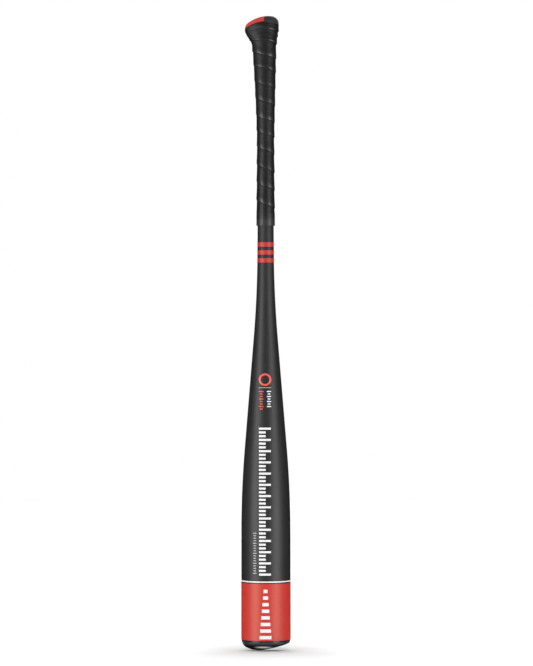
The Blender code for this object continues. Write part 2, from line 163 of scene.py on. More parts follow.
@dataclass(frozen=True)
class HandleForm:
    """The gripped handle and the knob: egg-shaped sections, wider towards the heel at -X.

    Three numbers are for heel, toe and side. The two of an edge are its width and height, and those
    of the flat its reach along X and Y.
    """

    tube: TubeLine
    length: float
    tape: float = 1.0 * MM
    gap: float = 0.3 * MM
    oval_z: float = 672 * MM
    flare_z: float = 797 * MM
    at_flare: tuple[float, float, float] = (17.2 * MM, 14.1 * MM, 13.4 * MM)
    at_rim: tuple[float, float, float] = (27.6 * MM, 17.8 * MM, 16.6 * MM)
    powers: tuple[float, float, float] = (1.5, 1.0, 1.0)
    heel_edge: tuple[float, float] = (4.5 * MM, 6.0 * MM)
    toe_edge: tuple[float, float] = (8.5 * MM, 10.5 * MM)
    bend_x: float = 4.3 * MM
    bend_radius: float = 44 * MM
    flat: tuple[float, float] = (3 * MM, 12 * MM)

    def egg(self, angle: float, reach: Sequence[float]) -> tuple[float, float]:
        """Return a point of a section from its reach to heel, toe and side."""
        heel, toe, side = reach
        return (toe if math.cos(angle) > 0 else heel) * math.cos(angle), side * math.sin(angle)

    def end_drop(self, x: float) -> float:
        """Return how far the knob's end has bent down at x."""
        return min(x - self.bend_x, 0.0) ** 2 / (2 * self.bend_radius)

    def edge(self, angle: float) -> tuple[float, float]:
        """Return width and height of the knob's rounded edge, which grows to the toe."""
        share = (1 + math.cos(angle)) / 2
        return tuple(h + (t - h) * share for h, t in zip(self.heel_edge, self.toe_edge))

    def rim_z(self, angle: float) -> float:
        """Return the height of the knob's widest line."""
        x, _ = self.egg(angle, self.at_rim)
        return self.length - self.end_drop(x) - self.edge(angle)[1]

    def reach(self, z: float) -> tuple[float, float, float]:
        """Return the reach of the gripped handle to heel, toe and side at a nominal height.

        Args:
            z: The nominal height.

        Returns:
            The reach to heel, toe and side.
        """
        start = self.tube.radius(self.oval_z) + self.gap + self.tape
        share = (z - self.oval_z) / (self.flare_z - self.oval_z)
        if share <= 0:
            return (self.tube.radius(z) + self.gap + self.tape,) * 3
        rim = self.rim_z(0)
        full = (rim - self.oval_z) / (self.flare_z - self.oval_z)
        flare = ease((z - self.flare_z) / (rim - self.flare_z))
        found = []
        for at_flare, at_rim, power in zip(self.at_flare, self.at_rim, self.powers):
            oval = start + (at_flare - start) * share**power
            oval_at_rim = start + (at_flare - start) * full**power
            found.append(oval + (at_rim - oval_at_rim) * flare)
        return tuple(found)

    def skin(self, angle: float, z: float, lift: float) -> Vector:
        """Return a point of the gripped handle, lifted off its nominal skin.

        Args:
            angle: Place around the axis; 0 is the toe and pi the heel.
            z: Nominal height, before the sections tip with the rim.
            lift: Distance outwards from the nominal skin.

        Returns:
            The point.
        """
        rim = self.rim_z(0)
        tip = ease((z - self.flare_z) / (rim - self.flare_z))
        x, y = self.egg(angle, [reach + lift for reach in self.reach(z)])
        return Vector((x, y, z - tip * (rim - self.rim_z(angle))))

    def knob_edge(self, angle: float, turn: float) -> Vector:
        """Return a point of the knob's rounded edge; turn runs from 0 at the rim to pi/2.

        Args:
            angle: Its place around the axis.
            turn: How far around the edge it is.

        Returns:
            The point.
        """
        width, height = self.edge(angle)
        inset = width * (1 - math.cos(turn))
        x, y = self.egg(angle, [reach - inset for reach in self.at_rim])
        return Vector((x, y, self.length - self.end_drop(x) - height * (1 - math.sin(turn))))

    def knob_end(self, angle: float, share: float) -> Vector:
        """Return a point of the knob's end, from its edge at 0 to the rim of its flat at 1.

        Args:
            angle: Its place around the axis.
            share: How far it is from the edge to the flat.

        Returns:
            The point.
        """
        edge = self.knob_edge(angle, math.pi / 2)
        flat_x = self.bend_x + self.flat[0] / 2 * (1 + math.cos(angle))
        flat_y = self.flat[1] / 2 * math.sin(angle)
        x, y = edge.x + (flat_x - edge.x) * share, edge.y + (flat_y - edge.y) * share
        return Vector((x, y, self.length - self.end_drop(x)))


# Modelling


class Bench:
    """Steps of mesh work that several pieces share."""

    @staticmethod
    def clear() -> None:
        """Leave edit mode with nothing selected."""
        if bpy.context.object and bpy.context.object.mode != "OBJECT":
            bpy.ops.object.mode_set(mode="OBJECT")
        bpy.ops.object.select_all(action="DESELECT")

    @staticmethod
    def pick(obj: bpy.types.Object) -> None:
        """Select one object alone and make it the active one.

        Args:
            obj: The object.
        """
        Bench.clear()
        obj.select_set(True)
        bpy.context.view_layer.objects.active = obj

    @staticmethod
    def edit(obj: bpy.types.Object) -> None:
        """Open one object in edit mode with all its points selected.

        Args:
            obj: The object.
        """
        Bench.pick(obj)
        bpy.ops.object.mode_set(mode="EDIT")
        bpy.ops.mesh.select_mode(type="VERT")
        bpy.ops.mesh.select_all(action="SELECT")

    @staticmethod
    def added(name: str) -> bpy.types.Object:
        """Name the primitive that was just added and put its place and turn into its mesh.

        Args:
            name: Its name.

        Returns:
            The object.
        """
        bpy.ops.object.transform_apply(location=True, rotation=True, scale=True)
        obj = bpy.context.object
        obj.name = name
        return obj

    @staticmethod
    def extrude(move: Sequence[float] = (0, 0, 0)) -> None:
        """Extrude what is selected and move it, or leave it in place."""
        bpy.ops.mesh.extrude_region_move(TRANSFORM_OT_translate={"value": move})

    @staticmethod
    def apply(obj: bpy.types.Object, kind: str, **settings: object) -> None:
        """Add a modifier with its settings and apply it.

        Args:
            obj: The object.
            kind: The kind of modifier.
            settings: Its settings.
        """
        Bench.pick(obj)
        modifier = obj.modifiers.new(kind.lower(), kind)
        for key, value in settings.items():
            setattr(modifier, key, value)
        bpy.ops.object.modifier_apply(modifier=modifier.name)

    @staticmethod
    def heal(obj: bpy.types.Object) -> None:
        """Merge what touches and turn all faces outwards.

        Args:
            obj: The object.
        """
        Bench.edit(obj)
        bpy.ops.mesh.remove_doubles(threshold=TOUCH)
        bpy.ops.mesh.normals_make_consistent(inside=False)
        Bench.clear()

    @staticmethod
    def smooth(obj: bpy.types.Object, angle: float = 35.0) -> None:
        """Shade smooth but for edges sharper than an angle in degrees.

        Args:
            obj: The object.
            angle: The angle from which an edge stays sharp.
        """
        Bench.pick(obj)
        bpy.ops.object.shade_smooth_by_angle(angle=math.radians(angle))
        obj.select_set(False)

    @staticmethod
    def skin(name: str, columns: int, rows: int, place: Place) -> bpy.types.Object:
        """Raise a grid and lay each of its points in place.

        Args:
            name: The piece's name.
            columns: Steps around; the last column falls on the first.
            rows: Points along.
            place: Gives a point's place from its column and row.

        Returns:
            The piece, which closes wherever its points meet once it is healed.
        """
        Bench.clear()
        bpy.ops.mesh.primitive_grid_add(x_subdivisions=columns, y_subdivisions=rows - 1, size=1)
        obj = Bench.added(name)
        width = columns + 1
        for i, vertex in enumerate(obj.data.vertices):
            vertex.co = place(i % width, i // width)
        return obj

    @staticmethod
    def take(obj: bpy.types.Object, wanted: Callable[[bmesh.types.BMFace], bool]) -> None:
        """Select the faces of the object in edit mode that are wanted.

        Args:
            obj: The object.
            wanted: Tells whether a face is wanted.
        """
        shape = bmesh.from_edit_mesh(obj.data)
        for face in shape.faces:
            face.select_set(wanted(face))
        shape.select_flush_mode()
        bmesh.update_edit_mesh(obj.data)

    @staticmethod
    def attribute(obj: bpy.types.Object, name: str, values: Sequence[float]) -> None:
        """Store one number for each point of a mesh."""
        layer = obj.data.attributes.new(name, "FLOAT", "POINT")
        layer.data.foreach_set("value", values)


class Turning:
    """A round piece, raised ring by ring from a circle on the bat's axis."""

    def __init__(self, name: str, radius: float, z: float) -> None:
        """Lay the first ring.

        Args:
            name: The piece's name.
            radius: The radius of the first ring.
            z: Its height.
        """
        Bench.clear()
        bpy.ops.mesh.primitive_circle_add(vertices=ROUND, radius=radius, location=(0, 0, z))
        self.obj = Bench.added(name)
        self.radius, self.z = radius, z
        Bench.edit(self.obj)

    def to(self, radius: float, z: float) -> None:
        """Extrude the last ring to a new radius and height.

        Args:
            radius: The new radius.
            z: The new height.
        """
        Bench.extrude((0, 0, z - self.z))
        if abs(radius - self.radius) > SAME_RADIUS:
            share = radius / self.radius
            bpy.ops.transform.resize(value=(share, share, 1), center_override=(0, 0, z))
        self.radius, self.z = radius, z

    def through(self, points: Run) -> None:
        """Extrude through a run of radii and heights."""
        for radius, z in points:
            self.to(radius, z)

    def done(self) -> bpy.types.Object:
        """Merge the last ring with the first where they meet, and close the mesh.

        Returns:
            The piece.
        """
        Bench.heal(self.obj)
        Bench.smooth(self.obj)
        return self.obj


# Finishes


@dataclass(frozen=True)
class Grain:
    """A noise pattern over a surface.

    Attributes:
        waves: Waves for each metre.
        detail: How many finer layers it has.
        rough: How strong the finer layers are.
        stretch: Scale along each axis, below 1 for lines that run along it.
    """

    waves: float
    detail: float = 2.0
    rough: float = 0.5
    stretch: tuple[float, float, float] = (1, 1, 1)


class Wire:
    """A socket in an expression; arithmetic on it adds Math nodes."""

    def __init__(self, graph: Graph, socket: bpy.types.NodeSocket) -> None:
        """Keep the graph and the socket."""
        self.graph, self.socket = graph, socket

    def math(self, operation: str, *terms: Wire | float) -> Wire:
        """Add one Math node over the terms."""
        node = self.graph.node("ShaderNodeMath", {"operation": operation}, dict(enumerate(terms)))
        return Wire(self.graph, node.outputs[0])

    def __add__(self, other: Wire | float) -> Wire:
        """Add."""
        return self.math("ADD", self, other)

    __radd__ = __add__

    def __sub__(self, other: Wire | float) -> Wire:
        """Subtract."""
        return self.math("SUBTRACT", self, other)

    def __rsub__(self, other: float) -> Wire:
        """Subtract from a number."""
        return self.math("SUBTRACT", other, self)

    def __mul__(self, other: Wire | float) -> Wire:
        """Multiply."""
        return self.math("MULTIPLY", self, other)

    __rmul__ = __mul__

    def step(self, low: float, high: float) -> Wire:
        """Rise smoothly from 0 at low to 1 at high."""
        node = self.graph.node(
            "ShaderNodeMapRange",
            {"interpolation_type": "SMOOTHSTEP"},
            {"Value": self, "From Min": low, "From Max": high},
        )
        return Wire(self.graph, node.outputs[0])


class Graph:
    """The nodes of one material around its Principled shader."""

    def __init__(self, name: str, **shader: object) -> None:
        """Make the material and set what is even all over it.

        Args:
            name: The material's name.
            shader: Values of the shader's sockets, with _ for a space in a name.
        """
        self.material = bpy.data.materials.new(name)
        self.material.use_nodes = True
        self.tree = self.material.node_tree
        self.shader = self.tree.nodes["Principled BSDF"]
        for key, value in shader.items():
            self.shader.inputs[key.replace("_", " ")].default_value = value
        self.place = self.node("ShaderNodeTexCoord").outputs["Object"]

    def node(
        self,
        kind: str,
        settings: dict[str, object] | None = None,
        inputs: dict[str | int, object] | None = None,
    ) -> bpy.types.Node:
        """Add a node.

        Args:
            kind: The node's type.
            settings: Its own settings, which are set first.
            inputs: Values or links for its sockets, by name or place.

        Returns:
            The node.
        """
        node = self.tree.nodes.new(kind)
        for key, value in (settings or {}).items():
            setattr(node, key, value)
        for key, value in (inputs or {}).items():
            self.plug(node.inputs[key], value)
        return node

    def plug(self, socket: bpy.types.NodeSocket, value: object) -> None:
        """Link a socket, or set its value.

        Args:
            socket: The socket.
            value: A link or a value.
        """
        if isinstance(value, Wire):
            value = value.socket
        if isinstance(value, bpy.types.NodeSocket):
            self.tree.links.new(value, socket)
        else:
            socket.default_value = value

    def set(self, **inputs: object) -> None:
        """Plug values into the Principled shader, with _ for a space in a name."""
        for key, value in inputs.items():
            self.plug(self.shader.inputs[key.replace("_", " ")], value)

    def mapped(self, stretch: Sequence[float]) -> bpy.types.NodeSocket:
        """Return the place on the piece, scaled along each axis."""
        node = self.node("ShaderNodeMapping", None, {"Vector": self.place, "Scale": stretch})
        return node.outputs[0]

    def noise(self, grain: Grain) -> Wire:
        """Return a grain's noise, between 0 and 1."""
        inputs = {
            "Vector": self.mapped(grain.stretch),
            "Scale": grain.waves,
            "Detail": grain.detail,
            "Roughness": grain.rough,
        }
        return Wire(self, self.node("ShaderNodeTexNoise", None, inputs).outputs["Fac"])

    def cells(self, grain: Grain) -> Wire:
        """Return the distance to the nearest cell border, for leather and creases.

        Args:
            grain: The cells' scale and stretch.

        Returns:
            The distance.
        """
        inputs = {"Vector": self.mapped(grain.stretch), "Scale": grain.waves}
        node = self.node("ShaderNodeTexVoronoi", {"feature": "DISTANCE_TO_EDGE"}, inputs)
        return Wire(self, node.outputs["Distance"])

    def along(self, axis: str) -> Wire:
        """Return the place along one axis; on Z it is the height above the floor."""
        node = self.node("ShaderNodeSeparateXYZ", None, {0: self.place})
        return Wire(self, node.outputs[axis])

    def away(self) -> Wire:
        """Return the distance from the middle of the piece's own frame."""
        node = self.node("ShaderNodeVectorMath", {"operation": "LENGTH"}, {0: self.place})
        return Wire(self, node.outputs["Value"])

    def stored(self, name: str) -> Wire:
        """Return a number stored on the mesh."""
        return Wire(self, self.node("ShaderNodeAttribute", {"attribute_name": name}).outputs["Fac"])

    def blend(self, share: Wire, low: Wire | Color, high: Color) -> Wire:
        """Mix a colour, or one that is mixed already, with a second colour.

        Args:
            share: How much of the second colour shows.
            low: The first colour.
            high: The second colour.

        Returns:
            The mixed colour.
        """
        first = low if isinstance(low, Wire) else (*low, 1)
        node = self.node("ShaderNodeMix", {"data_type": "RGBA"}, {0: share, 6: first, 7: (*high, 1)})
        return Wire(self, node.outputs[2])

    def relief(self, *layers: tuple[Wire, float]) -> Wire:
        """Lay reliefs over each other, the lowest first, each with its depth in metres.

        Args:
            layers: Each relief and its depth.

        Returns:
            The bent normal.
        """
        normal = None
        for height, depth in layers:
            inputs = {"Height": height, "Distance": depth, "Strength": 1.0}
            if normal:
                inputs["Normal"] = normal
            normal = Wire(self, self.node("ShaderNodeBump", None, inputs).outputs[0])
        return normal


@dataclass(frozen=True)
class Lacquer:
    """Satin charcoal lacquer over the drawn tube, with faint draw lines, peel and rubbed spots."""

    color: Color = (0.009, 0.009, 0.0092)
    rubbed: Color = (0.014, 0.014, 0.0143)
    scuffed: Color = grey(0.09)
    roughness: float = 0.48
    cloud: Grain = Grain(38, 3, 0.6)
    lines: Grain = Grain(420, 2, 0.55, (1, 1, 0.03))
    peel: Grain = Grain(900)
    scuffs: Grain = Grain(130, 5, 0.75, (1, 1, 0.35))
    scuff_edge: Span = (0.66, 0.8)
    handled_z: Span = (0.4, 0.55)
    depth: float = 0.012 * MM

    def material(self) -> bpy.types.Material:
        """Make the material.

        Returns:
            The material.
        """
        graph = Graph("charcoal_lacquer", Specular_IOR_Level=0.5)
        cloud, lines = graph.noise(self.cloud), graph.noise(self.lines)
        scuffs = graph.noise(self.scuffs).step(*self.scuff_edge)
        handled = graph.along("Z").step(*self.handled_z)
        color = graph.blend(cloud * 0.5 + lines * 0.5, self.color, self.rubbed)
        graph.set(
            Base_Color=graph.blend(scuffs * 0.2, color, self.scuffed),
            Roughness=self.roughness + (cloud + lines - 1) * 0.05 + scuffs * 0.06 + handled * 0.07,
            Normal=graph.relief((lines, self.depth), (graph.noise(self.peel), self.depth)),
        )
        return graph.material


@dataclass(frozen=True)
class FilmFinish:
    """Printed film: an even colour with fine lines around the bat and a satin face."""

    name: str
    color: Color
    shade: Color
    tint: Color = (1, 1, 1)
    gloss: float = 0.68
    roughness: float = 0.47
    lines: Grain = Grain(1500, 2, 0.6, (0.03, 0.03, 1))
    line_depth: float = 0.01 * MM
    cloud: Grain = Grain(60, 3, 0.55)
    peel: Grain = Grain(1100)
    peel_depth: float = 0.008 * MM

    def material(self) -> bpy.types.Material:
        """Make the material.

        Returns:
            The material.
        """
        graph = Graph(self.name, Specular_IOR_Level=self.gloss, Specular_Tint=(*self.tint, 1))
        lines, cloud, peel = graph.noise(self.lines), graph.noise(self.cloud), graph.noise(self.peel)
        graph.set(
            Base_Color=graph.blend(lines * 0.6 + cloud * 0.4, self.shade, self.color),
            Roughness=self.roughness + (cloud - 0.5) * 0.06 + (lines - 0.5) * 0.08,
            Normal=graph.relief((lines, self.line_depth), (peel, self.peel_depth)),
        )
        return graph.material


@dataclass(frozen=True)
class GlossCap:
    """High-gloss black urethane with hair scratches and dust in its lowest parts."""

    color: Color = (0.006, 0.006, 0.007)
    dust: Color = grey(0.03)
    roughness: float = 0.1
    coat: float = 0.6
    flow: Grain = Grain(70)
    flow_depth: float = 0.03 * MM
    scratch: Grain = Grain(900, 2, 0.7, (1, 0.05, 1))
    scratch_edge: Span = (0.6, 0.72)
    dusty_z: Span = (0.0, 4 * MM)

    def material(self) -> bpy.types.Material:
        """Make the material.

        Returns:
            The material.
        """
        graph = Graph("gloss_black_urethane", Specular_IOR_Level=0.55, Coat_Roughness=0.04)
        flow = graph.noise(self.flow)
        scratch = graph.noise(self.scratch).step(*self.scratch_edge)
        low = 1 - graph.along("Z").step(*self.dusty_z)
        graph.set(
            Base_Color=graph.blend(low * 0.35 + scratch * 0.2, self.color, self.dust),
            Roughness=self.roughness + flow * 0.05 + scratch * 0.08 + low * 0.1,
            Coat_Weight=self.coat - low * 0.3,
            Normal=graph.relief((flow, self.flow_depth)),
        )
        return graph.material


@dataclass(frozen=True)
class WoundTape:
    """Cushioned black tape: fine pores and grain, shinier where it is stretched over a lap, with a
    painted highlight that lightens its laps and painted shade in the creases under them.
    """

    color: Color = grey(0.006)
    # The soft noise tints the tape towards this as wear, and the shine lightens it towards this as a
    # painted highlight.
    worn: Color = (0.012, 0.012, 0.0118)
    # Painted shade for the creases under the laps.
    crease: Color = grey(0.002)
    roughness: float = 0.48
    stretch: float = 0.62
    soft: Grain = Grain(160, 3, 0.6)
    soft_depth: float = 0.22 * MM
    wrinkles: Grain = Grain(520, 2, 0.5, (0.22, 0.22, 1))
    wrinkle_depth: float = 0.2 * MM
    creases: Grain = Grain(520, stretch=(1, 1, 1.6))
    crease_edge: Span = (0.0, 0.35)
    crease_depth: float = 0.035 * MM
    grain: Grain = Grain(1700, 3, 0.6)
    grain_depth: float = 0.03 * MM
    pores: Grain = Grain(2600, 1)
    pore_edge: Span = (0.62, 0.7)
    handled_z: Span = (0.57, 0.72)

    def material(self) -> bpy.types.Material:
        """Make the material.

        Returns:
            The material.
        """
        graph = Graph("wound_grip_tape", Specular_IOR_Level=0.36, Coat_Roughness=0.27)
        shine, foot = graph.stored("shine"), graph.stored("foot")
        soft, wrinkles, grain = (graph.noise(g) for g in (self.soft, self.wrinkles, self.grain))
        creases = graph.cells(self.creases).step(*self.crease_edge)
        pores = graph.noise(self.pores).step(*self.pore_edge)
        low = 1 - graph.along("Z").step(*self.handled_z)
        # The shine lightens the colour as a painted highlight, and the crease rows darken it as
        # painted shade.
        tone = graph.blend(soft * 0.5 + shine * 0.5, self.color, self.worn)
        graph.set(
            Base_Color=graph.blend(foot * 0.85, tone, self.crease),
            Roughness=self.roughness + (soft - 0.5) * 0.12 + pores * 0.12 + foot * 0.25 - low * 0.06,
            Coat_Weight=shine * self.stretch,
            Normal=graph.relief(
                (soft, self.soft_depth),
                (wrinkles, self.wrinkle_depth),
                (creases, self.crease_depth),
                (grain, self.grain_depth),
            ),
        )
        return graph.material


@dataclass(frozen=True)
class SmoothTape:
    """Vinyl tape over the grip's end: smooth, with stretch lines around the handle, and a painted
    sheen that pales its lowest few millimetres.
    """

    color: Color = grey(0.007)
    worn: Color = grey(0.013)
    # Painted sheen for the tape's lowest few millimetres.
    pale: Color = grey(0.03)
    roughness: float = 0.45
    soft: Grain = Grain(190, 3, 0.55)
    soft_depth: float = 0.1 * MM
    lines: Grain = Grain(900, 2, 0.6, (0.08, 0.08, 1))
    line_depth: float = 0.03 * MM
    fine: Grain = Grain(2200)
    fine_depth: float = 0.012 * MM
    lower_sheen_z: Span = (0.565, 0.573)

    def material(self) -> bpy.types.Material:
        """Make the material.

        Returns:
            The material.
        """
        graph = Graph("vinyl_finishing_tape", Specular_IOR_Level=0.42)
        soft, lines, fine = graph.noise(self.soft), graph.noise(self.lines), graph.noise(self.fine)
        # The lowest few millimetres are paled as a painted sheen, and made smoother.
        pressed = 1 - graph.along("Z").step(*self.lower_sheen_z)
        tone = graph.blend(soft * 0.6 + lines * 0.4, self.color, self.worn)
        graph.set(
            Base_Color=graph.blend(pressed * 0.8, tone, self.pale),
            Roughness=self.roughness + (soft - 0.5) * 0.1 + (lines - 0.5) * 0.08 - pressed * 0.08,
            Normal=graph.relief(
                (soft, self.soft_depth), (lines, self.line_depth), (fine, self.fine_depth)
            ),
        )
        return graph.material


@dataclass(frozen=True)
class KnobLeather:
    """Black knob skin with a leather grain, polished a little on its high spots, and painted shade
    in the groove under the heel cap.
    """

    color: Color = grey(0.013)
    worn: Color = (0.023, 0.0227, 0.0225)
    # Painted shade for the groove under the heel cap.
    groove_shade: Color = grey(0.003)
    roughness: float = 0.5
    sheen: float = 0.14
    soft: Grain = Grain(230, 3, 0.6)
    soft_depth: float = 0.4 * MM
    cells: Grain = Grain(620)
    cell_edge: Span = (0.0, 0.3)
    cell_depth: float = 0.12 * MM
    fine: Grain = Grain(2400, 2, 0.6)
    fine_depth: float = 0.02 * MM

    def material(self) -> bpy.types.Material:
        """Make the material.

        Returns:
            The material.
        """
        graph = Graph("knob_black_leather", Specular_IOR_Level=0.5, Sheen_Weight=self.sheen)
        cells = graph.cells(self.cells).step(*self.cell_edge)
        soft, fine = graph.noise(self.soft), graph.noise(self.fine)
        # The groove under the heel cap is darkened as painted shade.
        groove = graph.stored("groove")
        leather = graph.blend(soft * 0.6 + cells * 0.4, self.color, self.worn)
        graph.set(
            Base_Color=graph.blend(groove, leather, self.groove_shade),
            Roughness=self.roughness + (soft - 0.5) * 0.2 - cells * 0.1 + groove * 0.4,
            Normal=graph.relief(
                (soft, self.soft_depth), (cells, self.cell_depth), (fine, self.fine_depth)
            ),
        )
        return graph.material


@dataclass(frozen=True)
class HeelRed:
    """Red moulded heel cap with a fine spark texture."""

    color: Color = (0.62, 0.048, 0.036)
    shade: Color = (0.46, 0.03, 0.024)
    roughness: float = 0.42
    cloud: Grain = Grain(120)
    spark: Grain = Grain(1800, 3, 0.6)
    spark_depth: float = 0.03 * MM

    def material(self) -> bpy.types.Material:
        """Make the material.

        Returns:
            The material.
        """
        graph = Graph("heel_cap_red", Specular_IOR_Level=0.5)
        cloud, spark = graph.noise(self.cloud), graph.noise(self.spark)
        graph.set(
            Base_Color=graph.blend(cloud * 0.7 + spark * 0.3, self.shade, self.color),
            Roughness=self.roughness + (cloud - 0.5) * 0.1 + (spark - 0.5) * 0.1,
            Normal=graph.relief((spark, self.spark_depth)),
        )
        return graph.material


@dataclass(frozen=True)
class TurnedSteel:
    """Bright turned steel with tool lines around the bat's axis."""

    color: Color = (0.52, 0.52, 0.53)
    shade: Color = (0.4, 0.4, 0.41)
    roughness: float = 0.26
    cloud: Grain = Grain(80, 3, 0.6)
    lines: Grain = Grain(2400, 2, 0.6, (0.03, 0.03, 1))
    line_depth: float = 0.02 * MM

    def material(self) -> bpy.types.Material:
        """Make the material.

        Returns:
            The material.
        """
        graph = Graph("turned_steel", Metallic=1.0)
        lines = graph.noise(self.lines)
        graph.set(
            Base_Color=graph.blend(graph.noise(self.cloud), self.shade, self.color),
            Roughness=self.roughness + lines * 0.12,
            Normal=graph.relief((lines, self.line_depth)),
        )
        return graph.material


@dataclass(frozen=True)
class Moulded:
    """A plain moulded elastomer or nylon for the pieces inside, with a fine matt skin."""

    name: str
    color: Color
    shade: Color
    roughness: float
    cloud: Grain = Grain(150, 3, 0.55)
    fine: Grain = Grain(1600, 2, 0.6)
    fine_depth: float = 0.03 * MM

    def material(self) -> bpy.types.Material:
        """Make the material.

        Returns:
            The material.
        """
        graph = Graph(self.name, Specular_IOR_Level=0.4)
        cloud = graph.noise(self.cloud)
        graph.set(
            Base_Color=graph.blend(cloud, self.shade, self.color),
            Roughness=self.roughness + (cloud - 0.5) * 0.1,
            Normal=graph.relief((graph.noise(self.fine), self.fine_depth)),
        )
        return graph.material


@dataclass(frozen=True)
class PrintInk:
    """Screen-printed ink, slightly uneven where it is thin."""

    name: str
    color: Color
    thin: Color
    roughness: float = 0.4
    mottle: Grain = Grain(700, 3, 0.6)
    thin_edge: Span = (0.3, 0.6)
    depth: float = 0.01 * MM

    def material(self) -> bpy.types.Material:
        """Make the material.

        Returns:
            The material.
        """
        graph = Graph(self.name, Specular_IOR_Level=0.5)
        mottle = graph.noise(self.mottle)
        graph.set(
            Base_Color=graph.blend(mottle.step(*self.thin_edge), self.thin, self.color),
            Roughness=self.roughness + (mottle - 0.5) * 0.12,
            Normal=graph.relief((mottle, self.depth)),
        )
        return graph.material


# Sub-assemblies


@dataclass(frozen=True)
class Barrel:
    """The drawn shell with its film bands.

    Attributes:
        tube: The tube's outer line.
        film: Thickness of a film.
        bed: How far a film's back lies off the tube.
        lip: Width of a film's softened edge.
        mouth_chamfer: Width of the chamfer at the tube's mouth.
        runs: Lowest height, highest height and steps of the rings up the tube, close at its bends.
        handle_z: Where the last and even run up to the tube's top starts.
        handle_steps: Its steps.
        bore_heights: The rings down the bore, between the tube's top and its mouth.
        film_nodes: The nodes of the films.
    """

    tube: TubeLine
    film: float = 0.12 * MM
    bed: float = 0.02 * MM
    lip: float = 0.04 * MM
    mouth_chamfer: float = 0.35 * MM
    runs: tuple[tuple[float, float, int], ...] = (
        (30 * MM, 150 * MM, 6),
        (154 * MM, 268 * MM, 24),
        (275 * MM, 408 * MM, 10),
        (414 * MM, 528 * MM, 24),
    )
    handle_z: float = 540 * MM
    handle_steps: int = 14
    bore_heights: tuple[float, ...] = (526 * MM, 470 * MM, 414 * MM, 266 * MM, 210 * MM, 154 * MM)
    film_nodes: tuple[str, ...] = (
        "barrel_wrap",
        "barrel_pinstripe",
        "handle_stripe_lower",
        "handle_stripe_middle",
        "handle_stripe_upper",
    )

    def shell(self) -> bpy.types.Object:
        """Raise the tube: up its outer line, over its top, down its bore and out at the mouth.

        Returns:
            The shell.
        """
        tube = self.tube
        cut = self.mouth_chamfer
        mouth = (tube.mouth_radius - cut, tube.mouth_z)
        heights = [tube.mouth_z + cut]
        for low, high, steps in (*self.runs, (self.handle_z, tube.top_z, self.handle_steps)):
            heights += spread(low, high, steps)
        turning = Turning("drawn_shell", *mouth)
        turning.through([(tube.radius(z), z) for z in heights])
        turning.through([(tube.bore(z), z) for z in (tube.top_z, *self.bore_heights, tube.mouth_z)])
        turning.to(*mouth)
        shell = turning.done()
        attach(shell, "root")
        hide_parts("bat_shell")
        shell.data.materials.append(Lacquer().material())
        return shell

    def band(self, node: str, finish: bpy.types.Material, slot: str) -> bpy.types.Object:
        """Raise one thin film ring on the shell, with softened edges.

        Args:
            node: The film's node.
            finish: Its material.
            slot: Not used.

        Returns:
            The film.
        """
        low, high = (corner.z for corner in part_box(node))
        radius = self.tube.radius
        inner, outer = self.bed, self.bed + self.film
        turning = Turning(f"{node}_film", radius(low) + inner, low)
        rows = [(outer - self.lip, low), (outer, low + self.lip)]
        rows += [(outer, low + (high - low) * share) for share in (0.25, 0.5, 0.75)]
        rows += [(outer, high - self.lip), (outer - self.lip, high), (inner, high), (inner, low)]
        turning.through([(radius(z) + lift, z) for lift, z in rows])
        band = turning.done()
        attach(band, "root")
        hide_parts(node)
        band.data.materials.append(finish)
        return band

    def build(self) -> list[bpy.types.Object]:
        """Make the shell and its bands.

        Returns:
            The pieces, the shell first.
        """
        red = FilmFinish(
            name="red_film",
            color=(0.45, 0.017, 0.012),
            shade=(0.38, 0.013, 0.009),
            tint=(1, 0.88, 0.72),
            gloss=0.62,
        )
        white = FilmFinish(name="white_film", color=(0.64, 0.64, 0.65), shade=(0.58, 0.58, 0.59))
        finishes = {"red_film": red.material(), "white_film": white.material()}
        made = [self.shell()]
        for node in self.film_nodes:
            slot = "white_film" if node == "barrel_pinstripe" else "red_film"
            made.append(self.band(node, finishes[slot], slot))
        return made


